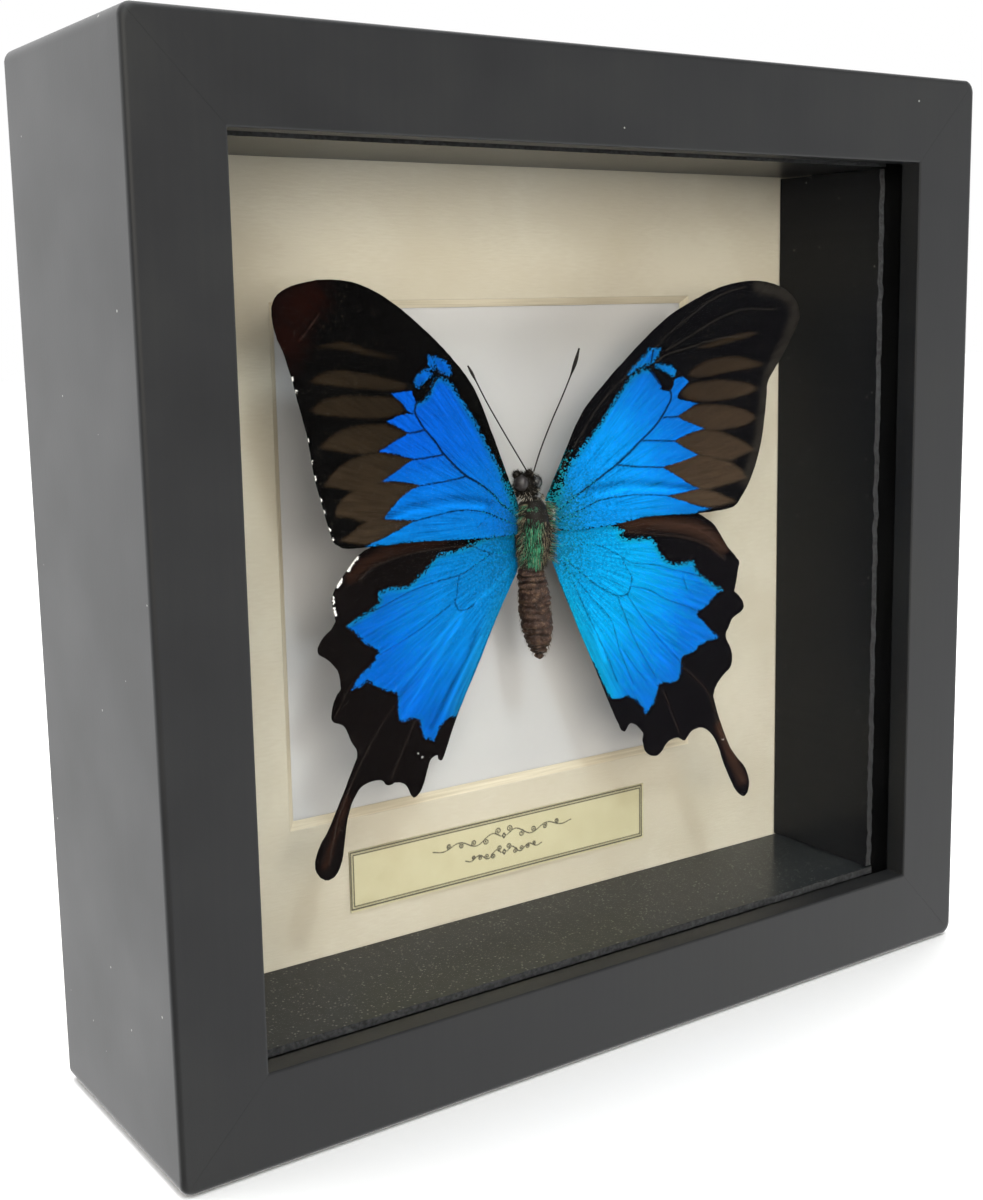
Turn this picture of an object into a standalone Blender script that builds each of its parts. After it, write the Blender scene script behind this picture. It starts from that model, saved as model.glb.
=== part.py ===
"""Framed butterfly specimen: a deep black box frame, glazed at the front, with a swallowtail held in the air before
a bevelled mat. Metres, +Z up. The frame stands on z = 0, its glass faces -Y, and x = 0 halves its width."""

import math

import bmesh
import bpy
from mathutils import Vector

MM = 0.001
GAP = 0.3  # between pieces that touch on the real object

# Driving dimensions, in millimetres.
SIDE = 180.0  # width and height of the frame
DEPTH = 51.0
STILE_FACE = 15.7  # width of the upright rails, seen from the front
RAIL_FACE = 16.5  # width of the level rails
WALL_SHARE = 0.61  # how much of a rail's face is wall: the rest is the lip before the glass
LIP_DEPTH = 4.5
CORNER_RADIUS = 2.2
EDGE_RADIUS = 0.9
GLASS_THICKNESS = 1.8
STRIP_THICKNESS = 1.4
MAT_DEPTH = 35.35  # from the front of the frame to the front of the mat
MAT_THICKNESS = 1.4
CARD_THICKNESS = 1.0
BOARD_THICKNESS = 3.0
INSIDE_X = (-76.9, 70.6)  # between the side strips: the lining sits left of the middle
INSIDE_Z = (17.0, 163.05)
WINDOW_X = (-51.3, 45.0)
WINDOW_Z = (42.6, 138.4)
LABEL_X = (-39.5, 31.9)
LABEL_Z = (24.3, 36.3)
LABEL_THICKNESS = 0.25

FRONT = -DEPTH / 2
BACK = DEPTH / 2
LIP_BACK = FRONT + LIP_DEPTH
GLASS_FRONT = LIP_BACK + GAP
GLASS_BACK = GLASS_FRONT + GLASS_THICKNESS
MAT_FRONT = FRONT + MAT_DEPTH
MAT_BACK = MAT_FRONT + MAT_THICKNESS
CARD_FRONT = MAT_BACK + GAP
CARD_BACK = CARD_FRONT + CARD_THICKNESS
BOARD_FRONT = CARD_BACK + GAP
BOARD_BACK = BOARD_FRONT + BOARD_THICKNESS
REBATE_X = SIDE / 2 - WALL_SHARE * STILE_FACE - GAP  # half the width of glass, mat, card and board
REBATE_Z = (WALL_SHARE * RAIL_FACE + GAP, SIDE - WALL_SHARE * RAIL_FACE - GAP)

# Retaining points: flat tabs pushed half into the rails, one in the middle of each side.
POINT_WIDTH = 10.0
POINT_LENGTH = 15.0
POINT_THICKNESS = 0.6
POINT_BURIED = 5.0
POINT_FRONT = BOARD_BACK + GAP

# Hanger on the back board.
HANGER_Z = 148.0
HANGER_HALF_WIDTH = 23.0
HANGER_FOOT = 8.0  # length of each end that lies on the board
HANGER_HEIGHT = 9.0
HANGER_SHEET = 0.8
HANGER_LIFT = 1.8
HANGER_TEETH = 7
NAIL_X = HANGER_HALF_WIDTH - HANGER_FOOT / 2
NAIL_SHANK = 0.7
NAIL_HEAD = 1.9

# Specimen. Wing outlines are (distance out from the body's axis, height), and each wing is a flat sheet that
# rises towards the glass as it goes out.
BODY_X = -3.5
WING_THICKNESS = 0.5
FOREWING_LIFT = (12.0, 0.138)  # height before the mat at the axis, and rise per millimetre out
HINDWING_LIFT = (11.2, 0.121)
BODY_LIFT = 11.2
HEAD_LIFT = 9.2
OUTLINE_STEPS = 2  # straight pieces between two outline points

LEFT_FOREWING = (
    ((3.8, 100.8), (6.4, 106.8), (9.9, 113.9), (14.5, 122.4), (20.1, 128.5), (26.2, 133.6), (33.6, 138.5),
     (40.1, 141.2), (46.7, 141.9), (52.7, 141.0), (56.3, 139.3), (57.3, 136.5), (56.5, 132.8), (55.3, 130.4)),
    ((55.3, 130.4), (53.9, 126.2), (52.6, 121.6), (51.1, 116.2), (50.1, 110.2), (48.8, 105.2), (47.2, 99.3),
     (46.3, 97.8)),
    ((46.3, 97.8), (44.5, 96.9), (41.0, 96.6), (35.0, 96.4), (28.0, 96.2), (20.0, 95.6), (12.0, 95.1),
     (6.0, 95.0), (3.5, 95.6)),
)
RIGHT_FOREWING = (
    ((3.6, 101.8), (4.2, 105.2), (5.3, 108.8), (10.1, 116.7), (15.0, 122.2), (20.0, 126.8), (25.0, 131.2),
     (30.0, 134.9), (35.0, 137.5), (40.0, 139.6), (45.0, 140.8), (50.0, 141.1), (55.0, 140.1), (58.5, 138.0),
     (60.2, 135.0), (59.6, 132.2), (55.9, 125.9)),
    ((55.9, 125.9), (52.7, 121.4), (52.3, 118.5), (51.7, 113.0), (50.5, 107.6), (48.2, 101.0), (45.6, 97.0)),
    ((45.6, 97.0), (44.3, 96.3), (41.0, 95.9), (36.0, 95.7), (30.0, 95.9), (24.0, 95.9), (17.4, 95.0),
     (12.0, 94.6), (7.0, 94.7), (3.6, 95.4)),
)
LEFT_HINDWING = (
    ((3.6, 93.5), (8.0, 95.6), (16.0, 96.9), (26.0, 97.2), (34.0, 96.8), (38.5, 96.1), (41.0, 94.9)),
    ((41.0, 94.9), (43.6, 92.4), (45.6, 90.3), (46.6, 88.5), (46.6, 86.9), (46.0, 84.4)),
    ((46.0, 84.4), (46.9, 83.1), (48.8, 81.7), (49.8, 80.2), (49.7, 79.0)),
    ((49.7, 79.0), (48.2, 78.1), (46.6, 76.6), (45.5, 74.9), (45.2, 72.2)),
    ((45.2, 72.2), (46.4, 70.9), (47.2, 68.9), (47.4, 67.1), (46.6, 66.4)),
    ((46.6, 66.4), (45.1, 65.7), (44.2, 64.2), (43.4, 62.3), (42.4, 60.8), (42.3, 59.4)),
    ((42.3, 59.4), (45.7, 53.2), (49.0, 47.6), (50.6, 45.6), (51.6, 43.7), (52.0, 41.8), (51.4, 40.2),
     (50.3, 39.1), (49.1, 38.8), (47.8, 39.3), (46.8, 40.6), (46.0, 42.8), (44.9, 48.2), (44.1, 50.5),
     (43.0, 52.4), (41.6, 53.8), (39.8, 54.3), (38.0, 54.3), (36.7, 53.9)),
    ((36.7, 53.9), (36.3, 53.3), (35.7, 52.9), (34.9, 52.9), (34.2, 53.1)),
    ((34.2, 53.1), (32.7, 52.7), (31.6, 51.8), (30.6, 49.8)),
    ((30.6, 49.8), (29.9, 49.4), (28.8, 49.9), (27.7, 51.5), (26.3, 55.3), (25.4, 56.1)),
    ((25.4, 56.1), (24.4, 56.2), (24.1, 55.3), (23.4, 55.0), (22.9, 55.6)),
    ((22.9, 55.6), (19.6, 62.7), (13.7, 72.6), (10.3, 78.7), (6.2, 84.8), (4.4, 87.4), (3.6, 89.6)),
)
RIGHT_HINDWING = (
    ((3.6, 93.4), (8.0, 94.6), (16.0, 96.0), (26.0, 97.2), (33.0, 97.0), (36.5, 96.0), (38.6, 94.9)),
    ((38.6, 94.9), (40.9, 93.2), (42.5, 91.0), (44.3, 88.2), (46.1, 86.2), (47.2, 84.8), (46.9, 83.4),
     (46.4, 80.2), (46.1, 78.9)),
    ((46.1, 78.9), (47.3, 77.8), (48.3, 76.6), (48.6, 75.3), (47.9, 74.3)),
    ((47.9, 74.3), (45.9, 73.2), (45.0, 71.6), (44.3, 70.3), (44.3, 69.1)),
    ((44.3, 69.1), (45.2, 67.5), (45.7, 65.7), (45.6, 63.9), (45.0, 62.8)),
    ((45.0, 62.8), (43.7, 61.9), (42.5, 60.7), (41.5, 59.3), (41.0, 57.5)),
    ((41.0, 57.5), (42.3, 53.2), (44.3, 48.2), (45.6, 45.6), (47.3, 43.4), (49.0, 41.3), (50.0, 39.0),
     (50.2, 37.1), (49.8, 35.7), (48.9, 35.0), (47.5, 35.9), (46.1, 38.0), (43.6, 43.5), (42.5, 46.6),
     (41.1, 49.1), (39.5, 50.7), (37.7, 51.3), (35.9, 50.9), (34.9, 49.9)),
    ((34.9, 49.9), (34.1, 49.2), (33.3, 49.5), (32.5, 50.0)),
    ((32.5, 50.0), (31.3, 50.0), (30.1, 49.6), (29.1, 48.6)),
    ((29.1, 48.6), (28.4, 47.6), (27.2, 47.0), (25.7, 47.4), (24.6, 48.6), (24.1, 50.7), (24.2, 52.1),
     (23.4, 53.2)),
    ((23.4, 53.2), (22.3, 54.2), (21.1, 54.5), (20.4, 53.6), (19.8, 53.1), (19.1, 53.5)),
    ((19.1, 53.5), (16.8, 58.5), (13.6, 66.2), (9.2, 76.2), (5.6, 84.8), (4.5, 87.8), (3.6, 89.6)),
)
# Body profiles: (height, radius), turned round an upright axis.
THORAX = ((100.2, 1.2), (99.4, 2.3), (97.5, 3.0), (94.5, 3.2), (91.5, 2.9), (89.4, 2.2), (88.8, 1.4))
THORAX_DEPTH_SHARE = 1.15
ABDOMEN = ((88.4, 1.4), (87.6, 2.4), (85.0, 3.0), (80.0, 3.2), (76.0, 3.1), (73.0, 2.4), (71.2, 1.4), (70.2, 0.5))
ABDOMEN_DRIFT = 0.075  # sideways per millimetre down
HEAD_HALF = (3.1, 2.4, 2.7)
HEAD_Z = 103.5
ANTENNA_ROUTE = ((1.5, 106.7), (3.4, 110.1), (6.3, 114.9), (9.3, 120.1), (11.6, 124.9), (12.5, 127.0), (12.9, 127.9))
ANTENNA_RADII = (0.17, 0.15, 0.15, 0.17, 0.26, 0.36, 0.24)
BLOCK_RADIUS = 2.5


def clear_scene():
    for thing in list(bpy.data.objects):
        bpy.data.objects.remove(thing, do_unlink=True)


def linear(value):
    """One channel of an sRGB colour as scene-linear."""
    return value / 12.92 if value <= 0.04045 else ((value + 0.055) / 1.055) ** 2.4


def make_material(name, colour, roughness, metallic=0.0, transmission=0.0):
    material = bpy.data.materials.new(name)
    material.use_nodes = True
    shader = material.node_tree.nodes["Principled BSDF"]
    channels = [linear(int(colour[i:i + 2], 16) / 255) for i in (0, 2, 4)]
    shader.inputs["Base Color"].default_value = (*channels, 1.0)
    shader.inputs["Roughness"].default_value = roughness
    shader.inputs["Metallic"].default_value = metallic
    shader.inputs["Transmission Weight"].default_value = transmission
    return material


def add_object(name, bm, material):
    """Turns a bmesh in millimetres into an object in metres."""
    bmesh.ops.scale(bm, vec=(MM, MM, MM), verts=bm.verts)
    bmesh.ops.recalc_face_normals(bm, faces=bm.faces)
    mesh = bpy.data.meshes.new(name)
    bm.to_mesh(mesh)
    bm.free()
    thing = bpy.data.objects.new(name, mesh)
    bpy.context.scene.collection.objects.link(thing)
    thing.data.materials.append(material)
    return thing


def box_mesh(low, high):
    bm = bmesh.new()
    bmesh.ops.create_cube(bm, size=1.0)
    low, high = Vector(low), Vector(high)
    bmesh.ops.scale(bm, vec=high - low, verts=bm.verts)
    bmesh.ops.translate(bm, vec=(high + low) / 2, verts=bm.verts)
    return bm


def box(name, low, high, material):
    return add_object(name, box_mesh(low, high), material)


def helper(thing):
    """A cutter: kept out of the render and drawn as wires."""
    thing.hide_render = True
    thing.display_type = "WIRE"
    return thing


def combine(thing, operation, other):
    modifier = thing.modifiers.new(other.name, "BOOLEAN")
    modifier.operation = operation
    modifier.solver = "EXACT"
    modifier.object = other


def turned(name, profile, centre, material, depth_share=1.0, drift=0.0, steps=20):
    """A (height, radius) profile turned round an upright axis through centre, flattened front to back and sheared."""
    bm = bmesh.new()
    top, bottom = profile[0][0], profile[-1][0]
    rim = [bm.verts.new((radius, 0.0, height)) for height, radius in profile]
    rim = [bm.verts.new((0.0, 0.0, top)), *rim, bm.verts.new((0.0, 0.0, bottom))]
    edges = [bm.edges.new(pair) for pair in zip(rim, rim[1:])]
    turn = dict(cent=(0, 0, 0), axis=(0, 0, 1), angle=math.tau, steps=steps, use_merge=True)
    bmesh.ops.spin(bm, geom=rim + edges, **turn)
    bmesh.ops.remove_doubles(bm, verts=bm.verts, dist=1e-4)
    for vert in bm.verts:
        vert.co.x += centre[0] + drift * (top - vert.co.z)
        vert.co.y = centre[1] + vert.co.y * depth_share
    return add_object(name, bm, material)


def smooth_run(points, steps):
    """Points on a Catmull-Rom curve through the given ones, without the last."""
    ends = [2 * Vector(points[0]) - Vector(points[1]), 2 * Vector(points[-1]) - Vector(points[-2])]
    run = [ends[0], *map(Vector, points), ends[1]]
    for before, start, end, after in zip(run, run[1:], run[2:], run[3:]):
        for step in range(steps):
            t = step / steps
            yield 0.5 * (2 * start + (end - before) * t + (2 * before - 5 * start + 4 * end - after) * t ** 2
                         + (3 * start - before - 3 * end + after) * t ** 3)


def wing(name, outline, side, lift, material):
    """A flat sheet of the outline's shape: side is -1 on the left and 1 on the right."""
    def place(point):
        out, height = point
        return BODY_X + side * out, MAT_FRONT - lift[0] - lift[1] * out + WING_THICKNESS / 2, height

    rim = [point for run in outline for point in smooth_run(run, OUTLINE_STEPS)]
    rim.append(Vector(outline[-1][-1]))
    bm = bmesh.new()
    sheet = bm.faces.new([bm.verts.new(place(point)) for point in rim])
    raised = bmesh.ops.extrude_face_region(bm, geom=[sheet])
    tops = [part for part in raised["geom"] if isinstance(part, bmesh.types.BMVert)]
    bmesh.ops.translate(bm, vec=(0, -WING_THICKNESS, 0), verts=tops)
    return add_object(name, bm, material)


def frame_corner(share, y, column, row):
    """The point at a corner of the frame that lies this share of a rail's face in from the outside."""
    inset_x, inset_z = share * STILE_FACE, share * RAIL_FACE
    return Vector((column * (SIDE / 2 - inset_x), y, inset_z if row < 0 else SIDE - inset_z))


def frame_rail(name, first, second, rounding, material):
    """One mitred rail with a rebate behind its lip, from one corner of the frame to the next."""
    profile = ((0, FRONT), (1, FRONT), (1, LIP_BACK), (WALL_SHARE, LIP_BACK), (WALL_SHARE, BACK), (0, BACK))
    starts = [frame_corner(share, y, *first) for share, y in profile]
    ends = [frame_corner(share, y, *second) for share, y in profile]
    play = (ends[0] - starts[0]).normalized() * GAP * math.sqrt(0.5)
    bm = bmesh.new()
    cap = bm.faces.new([bm.verts.new(point + play) for point in starts])
    far_cap = bmesh.ops.extrude_face_region(bm, geom=[cap], use_keep_orig=True)
    moved = [part for part in far_cap["geom"] if isinstance(part, bmesh.types.BMVert)]
    for vert in moved:
        nearest = min(range(len(starts)), key=lambda i: (starts[i] + play - vert.co).length)
        vert.co = ends[nearest] - play
    rail = add_object(name, bm, material)
    combine(rail, "INTERSECT", rounding)
    return rail


def rounded_block():
    """The whole outside of the frame, with its corners and edges sanded round."""
    bm = box_mesh((-SIDE / 2, FRONT, 0), (SIDE / 2, BACK, SIDE))
    settings = dict(offset_type="OFFSET", affect="EDGES", profile=0.5, material=-1)
    corners = [edge for edge in bm.edges if abs(edge.verts[0].co.y - edge.verts[1].co.y) > DEPTH / 2]
    bmesh.ops.bevel(bm, geom=corners, offset=CORNER_RADIUS, segments=4, **settings)
    rims = [edge for edge in bm.edges if edge.verts[0].co.y == edge.verts[1].co.y]
    bmesh.ops.bevel(bm, geom=rims, offset=EDGE_RADIUS, segments=3, **settings)
    return bm


def frame_parts(black, steel):
    """The four rails, and the four points that hold the back board in."""
    rounding = helper(add_object("outside_guide", rounded_block(), black))
    top_left, top_right, bottom_left, bottom_right = (-1, 1), (1, 1), (-1, -1), (1, -1)
    inner_x, inner_z = SIDE / 2 - WALL_SHARE * STILE_FACE, WALL_SHARE * RAIL_FACE
    middle = (0, SIDE / 2)
    for side, corners, wall, inward in (
        ("top", (top_left, top_right), (0, SIDE - inner_z), (0, -1)),
        ("bottom", (bottom_left, bottom_right), (0, inner_z), (0, 1)),
        ("left", (bottom_left, top_left), (-inner_x, middle[1]), (1, 0)),
        ("right", (bottom_right, top_right), (inner_x, middle[1]), (-1, 0)),
    ):
        rail = frame_rail("rail_" + side, *corners, rounding, black)
        wall, inward = Vector(wall), Vector(inward)
        across = Vector((abs(inward.y), abs(inward.x)))
        buried = wall - inward * POINT_BURIED
        tip = buried + inward * POINT_LENGTH
        ends = [buried - across * POINT_WIDTH / 2, tip + across * POINT_WIDTH / 2]
        low = Vector((min(end.x for end in ends), min(end.y for end in ends)))
        high = Vector((max(end.x for end in ends), max(end.y for end in ends)))
        room = Vector((GAP, GAP))
        box("point_" + side, (low.x, POINT_FRONT, low.y), (high.x, POINT_FRONT + POINT_THICKNESS, high.y), steel)
        low, high = low - room, high + room
        slot = box_mesh((low.x, POINT_FRONT - GAP, low.y), (high.x, POINT_FRONT + POINT_THICKNESS + GAP, high.y))
        combine(rail, "DIFFERENCE", helper(add_object("slot_" + side, slot, black)))


def lining(black_card):
    """Four strips that line the box from the glass to the mat."""
    near, far = GLASS_BACK + GAP, MAT_FRONT - GAP
    left, right = INSIDE_X
    bottom, top = INSIDE_Z
    outer_left, outer_right = left - STRIP_THICKNESS, right + STRIP_THICKNESS
    box("strip_top", (outer_left, near, top), (outer_right, far, top + STRIP_THICKNESS), black_card)
    box("strip_bottom", (outer_left, near, bottom - STRIP_THICKNESS), (outer_right, far, bottom), black_card)
    box("strip_left", (outer_left, near, bottom + GAP), (left, far, top - GAP), black_card)
    box("strip_right", (right, near, bottom + GAP), (outer_right, far, top - GAP), black_card)


def window_cutter(material):
    """A block whose sides lean at 45 degrees, narrowest at the back of the mat."""
    reach = 1.0
    bm = box_mesh((WINDOW_X[0], MAT_FRONT - reach, WINDOW_Z[0]), (WINDOW_X[1], MAT_BACK + reach, WINDOW_Z[1]))
    centre = Vector((sum(WINDOW_X) / 2, 0, sum(WINDOW_Z) / 2))
    for vert in bm.verts:
        lean = MAT_FRONT - vert.co.y
        vert.co.x += math.copysign(lean, vert.co.x - centre.x)
        vert.co.z += math.copysign(lean, vert.co.z - centre.z)
    return helper(add_object("window_guide", bm, material))


def flat_parts(glass, mat_card, white_card, fibreboard, paper):
    low_z, high_z = REBATE_Z
    box("glass_pane", (-REBATE_X, GLASS_FRONT, low_z), (REBATE_X, GLASS_BACK, high_z), glass)
    mat = box("mat_board", (-REBATE_X, MAT_FRONT, low_z), (REBATE_X, MAT_BACK, high_z), mat_card)
    combine(mat, "DIFFERENCE", window_cutter(mat_card))
    box("backing_card", (-REBATE_X, CARD_FRONT, low_z), (REBATE_X, CARD_BACK, high_z), white_card)
    label_back = MAT_FRONT - GAP
    box("label_card", (LABEL_X[0], label_back - LABEL_THICKNESS, LABEL_Z[0]), (LABEL_X[1], label_back, LABEL_Z[1]),
        paper)
    return box("back_board", (-REBATE_X, BOARD_FRONT, low_z), (REBATE_X, BOARD_BACK, high_z), fibreboard)


def rod_mesh(radius, near, far, x, z):
    """A cylinder along Y."""
    bm = bmesh.new()
    bmesh.ops.create_cone(bm, cap_ends=True, segments=16, radius1=radius, radius2=radius, depth=far - near)
    for vert in bm.verts:
        vert.co = Vector((x + vert.co.x, (near + far) / 2 + vert.co.z, z + vert.co.y))
    return bm


def hanger_parts(board, brass_steel):
    """A bent plate with a saw-toothed lower edge, nailed on the back board."""
    foot = BOARD_BACK + GAP
    raised = foot + HANGER_LIFT
    bend = HANGER_HALF_WIDTH - HANGER_FOOT
    ramp = bend - HANGER_LIFT
    right = ((HANGER_HALF_WIDTH, foot), (bend, foot), (ramp, raised))
    bottom_line = list(right) + [(-x, y) for x, y in reversed(right)]
    sheet = [(x, y + HANGER_SHEET) for x, y in reversed(bottom_line)]
    bm = bmesh.new()
    low_edge = HANGER_Z - HANGER_HEIGHT / 2
    cap = bm.faces.new([bm.verts.new((x, y, low_edge)) for x, y in bottom_line + sheet])
    grown = bmesh.ops.extrude_face_region(bm, geom=[cap], use_keep_orig=True)
    tops = [part for part in grown["geom"] if isinstance(part, bmesh.types.BMVert)]
    bmesh.ops.translate(bm, vec=(0, 0, HANGER_HEIGHT), verts=tops)
    plate = add_object("hanger_plate", bm, brass_steel)

    pitch = 2 * (ramp - 1.5) / HANGER_TEETH
    for tooth in range(HANGER_TEETH):
        middle = (tooth - (HANGER_TEETH - 1) / 2) * pitch
        notch = bmesh.new()
        outline = ((middle - pitch * 0.42, low_edge - 0.5), (middle + pitch * 0.42, low_edge - 0.5),
                   (middle, low_edge + 2.2))
        face = notch.faces.new([notch.verts.new((x, raised - 1.0, z)) for x, z in outline])
        deep = bmesh.ops.extrude_face_region(notch, geom=[face], use_keep_orig=True)
        far = [part for part in deep["geom"] if isinstance(part, bmesh.types.BMVert)]
        bmesh.ops.translate(notch, vec=(0, HANGER_SHEET + 2.0, 0), verts=far)
        combine(plate, "DIFFERENCE", helper(add_object(f"notch_{tooth}", notch, brass_steel)))

    for side, x in (("left", -NAIL_X), ("right", NAIL_X)):
        drill = rod_mesh(NAIL_SHANK + GAP, BOARD_FRONT - 1.0, foot + HANGER_SHEET + 1.0, x, HANGER_Z)
        drill = helper(add_object("drill_" + side, drill, brass_steel))
        combine(plate, "DIFFERENCE", drill)
        combine(board, "DIFFERENCE", drill)
        head_back = foot + HANGER_SHEET + GAP
        head = rod_mesh(NAIL_HEAD, head_back, head_back + 0.7, x, HANGER_Z)
        nail = add_object("hanger_nail_" + side, head, brass_steel)
        shank = rod_mesh(NAIL_SHANK, BOARD_FRONT + 0.5, head_back + 0.3, x, HANGER_Z)
        combine(nail, "UNION", helper(add_object("shank_" + side, shank, brass_steel)))


def antenna(name, side, material):
    """A thin round stalk that thickens to a club."""
    curve = bpy.data.curves.new(name, "CURVE")
    curve.dimensions = "3D"
    curve.bevel_depth = MM
    curve.bevel_resolution = 1
    curve.use_fill_caps = True
    spline = curve.splines.new("POLY")
    spline.points.add(len(ANTENNA_ROUTE) - 1)
    for point, (out, height), radius in zip(spline.points, ANTENNA_ROUTE, ANTENNA_RADII):
        point.co = (MM * (BODY_X + side * out), MM * (MAT_FRONT - HEAD_LIFT), MM * height, 1)
        point.radius = radius
    thing = bpy.data.objects.new(name, curve)
    bpy.context.scene.collection.objects.link(thing)
    curve.materials.append(material)


def specimen_parts(cork):
    black_scale = make_material("black_wing_scale", "17130F", 0.7)
    blue_scale = make_material("blue_wing_scale", "0A7FD8", 0.5)
    green_fur = make_material("green_black_fur", "2F3A30", 0.8)
    brown_skin = make_material("brown_dry_skin", "4E4038", 0.7)
    wing("forewing_left", LEFT_FOREWING, -1, FOREWING_LIFT, black_scale)
    wing("forewing_right", RIGHT_FOREWING, 1, FOREWING_LIFT, black_scale)
    wing("hindwing_left", LEFT_HINDWING, -1, HINDWING_LIFT, blue_scale)
    wing("hindwing_right", RIGHT_HINDWING, 1, HINDWING_LIFT, blue_scale)
    body_y = MAT_FRONT - BODY_LIFT
    turned("thorax", THORAX, (BODY_X, body_y), green_fur, depth_share=THORAX_DEPTH_SHARE)
    turned("abdomen", ABDOMEN, (BODY_X - 0.3, body_y), brown_skin, drift=ABDOMEN_DRIFT)

    bm = bmesh.new()
    bmesh.ops.create_uvsphere(bm, u_segments=20, v_segments=12, radius=1.0)
    bmesh.ops.scale(bm, vec=HEAD_HALF, verts=bm.verts)
    bmesh.ops.translate(bm, vec=(BODY_X - 0.2, MAT_FRONT - HEAD_LIFT, HEAD_Z), verts=bm.verts)
    add_object("head", bm, green_fur)
    antenna("antenna_left", -1, black_scale)
    antenna("antenna_right", 1, black_scale)

    thorax_half_depth = THORAX_DEPTH_SHARE * max(radius for _, radius in THORAX)
    near = body_y + thorax_half_depth + GAP
    add_object("mounting_block", rod_mesh(BLOCK_RADIUS, near, CARD_FRONT - GAP, BODY_X, 94.0), cork)


def shade_round_pieces():
    smooth_names = ("thorax", "abdomen", "head", "hanger_nail_left", "hanger_nail_right", "mounting_block")
    for name in smooth_names:
        mesh = bpy.data.objects[name].data
        mesh.shade_smooth()
        mesh.set_sharp_from_angle(angle=math.radians(40))


def main():
    clear_scene()
    black_paint = make_material("black_painted_wood", "2E2F30", 0.55)
    black_card = make_material("black_faced_card", "1F1F20", 0.8)
    steel = make_material("zinc_plated_steel", "9A9A98", 0.35, metallic=1.0)
    glass = make_material("clear_glass", "FFFFFF", 0.02, transmission=1.0)
    mat_card = make_material("cream_mat_board", "D6C9AB", 0.9)
    white_card = make_material("white_backing_card", "D9D9D8", 0.85)
    fibreboard = make_material("hardboard", "7A5A3A", 0.8)
    paper = make_material("label_paper", "DCD5B2", 0.9)
    cork = make_material("cork", "9C7447", 0.95)
    frame_parts(black_paint, steel)
    lining(black_card)
    board = flat_parts(glass, mat_card, white_card, fibreboard, paper)
    hanger_parts(board, steel)
    specimen_parts(cork)
    shade_round_pieces()


main()
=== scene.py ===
"""Looks of the framed butterfly specimen: a black box frame with a glazed front, a bevelled cream mat with a
bordered label, and a blue and black swallowtail held in the air before it. Sizes are in millimetres unless a
name or a comment says otherwise, and every finished mesh is in metres, in place, +Z up."""

import math
import random

import bmesh
import bpy
import numpy as np
from mathutils import Matrix, Vector, noise


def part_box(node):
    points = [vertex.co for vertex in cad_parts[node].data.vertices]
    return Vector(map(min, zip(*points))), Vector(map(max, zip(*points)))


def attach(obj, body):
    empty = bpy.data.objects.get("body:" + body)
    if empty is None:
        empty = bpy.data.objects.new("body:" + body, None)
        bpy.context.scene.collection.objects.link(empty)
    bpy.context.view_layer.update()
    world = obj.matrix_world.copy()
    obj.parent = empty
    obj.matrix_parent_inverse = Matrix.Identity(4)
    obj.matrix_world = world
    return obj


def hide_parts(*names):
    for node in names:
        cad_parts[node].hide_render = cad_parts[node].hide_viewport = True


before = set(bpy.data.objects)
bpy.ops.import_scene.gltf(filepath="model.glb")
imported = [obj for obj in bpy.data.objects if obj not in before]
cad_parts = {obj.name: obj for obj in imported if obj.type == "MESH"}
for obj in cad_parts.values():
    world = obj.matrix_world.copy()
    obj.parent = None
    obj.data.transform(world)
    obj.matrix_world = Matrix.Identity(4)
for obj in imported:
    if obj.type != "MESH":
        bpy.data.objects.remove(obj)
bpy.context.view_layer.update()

MM = 0.001


def box_mm(node):
    """A node's lowest and highest corner, in millimetres."""
    low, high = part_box(node)
    return low / MM, high / MM


# Driving places and sizes, from the solid model.
MAT_LOW, MAT_HIGH = box_mm("mat_board")
LABEL_LOW, LABEL_HIGH = box_mm("label_card")
RAIL_LOW, RAIL_HIGH = box_mm("rail_bottom")
STRIP_LEFT = box_mm("strip_left")
STRIP_RIGHT = box_mm("strip_right")
STRIP_TOP = box_mm("strip_top")
STRIP_BOTTOM = box_mm("strip_bottom")
THORAX_LOW, THORAX_HIGH = box_mm("thorax")
HEAD_LOW, HEAD_HIGH = box_mm("head")
FRONT, BACK = RAIL_LOW.y, RAIL_HIGH.y
HALF_WIDTH = box_mm("rail_right")[1].x
HEIGHT = box_mm("rail_top")[1].z
MAT_FRONT = MAT_LOW.y

# The frame, as its solid rails are cut.
STILE_FACE = 15.7
RAIL_FACE = 16.5
WALL_SHARE = 0.61
LIP_DEPTH = 4.5
CORNER_RADIUS = 2.2
EDGE_RADIUS = 0.9
LIP_RADIUS = 0.35
MITRE_PLAY = 0.01  # the paint bridges the mitres, so they don't show

WINDOW_X = (-51.3, 45.0)
WINDOW_Z = (42.6, 138.4)

# The specimen. Points on a wing are (distance out from the body's axis, height).
BODY_X = -3.5
BODY_Y = (THORAX_LOW.y + THORAX_HIGH.y) / 2
HEAD_Y = (HEAD_LOW.y + HEAD_HIGH.y) / 2
FOREWING_LIFT = (12.0, 0.138)  # height before the mat at the axis, and rise per millimetre out
HINDWING_LIFT = (11.2, 0.121)
ROOT_DROP = 2.2  # how far a wing dips towards its joint with the body
ROOT_REACH = 2.5
ROOT_OUT = 3.4
ROOT_LEAN = 0.66  # sideways shift of the joint for each millimetre of dip
WING_SHEET = 0.12
LATTICE = 0.25  # width of the small faces that carry a wing's pattern
SLICE_OFFSET = 0.137  # share of a slice by which the cuts miss round figures, so none runs along an edge
NOWHERE = 9.0  # a distance that counts as nowhere near

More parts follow.
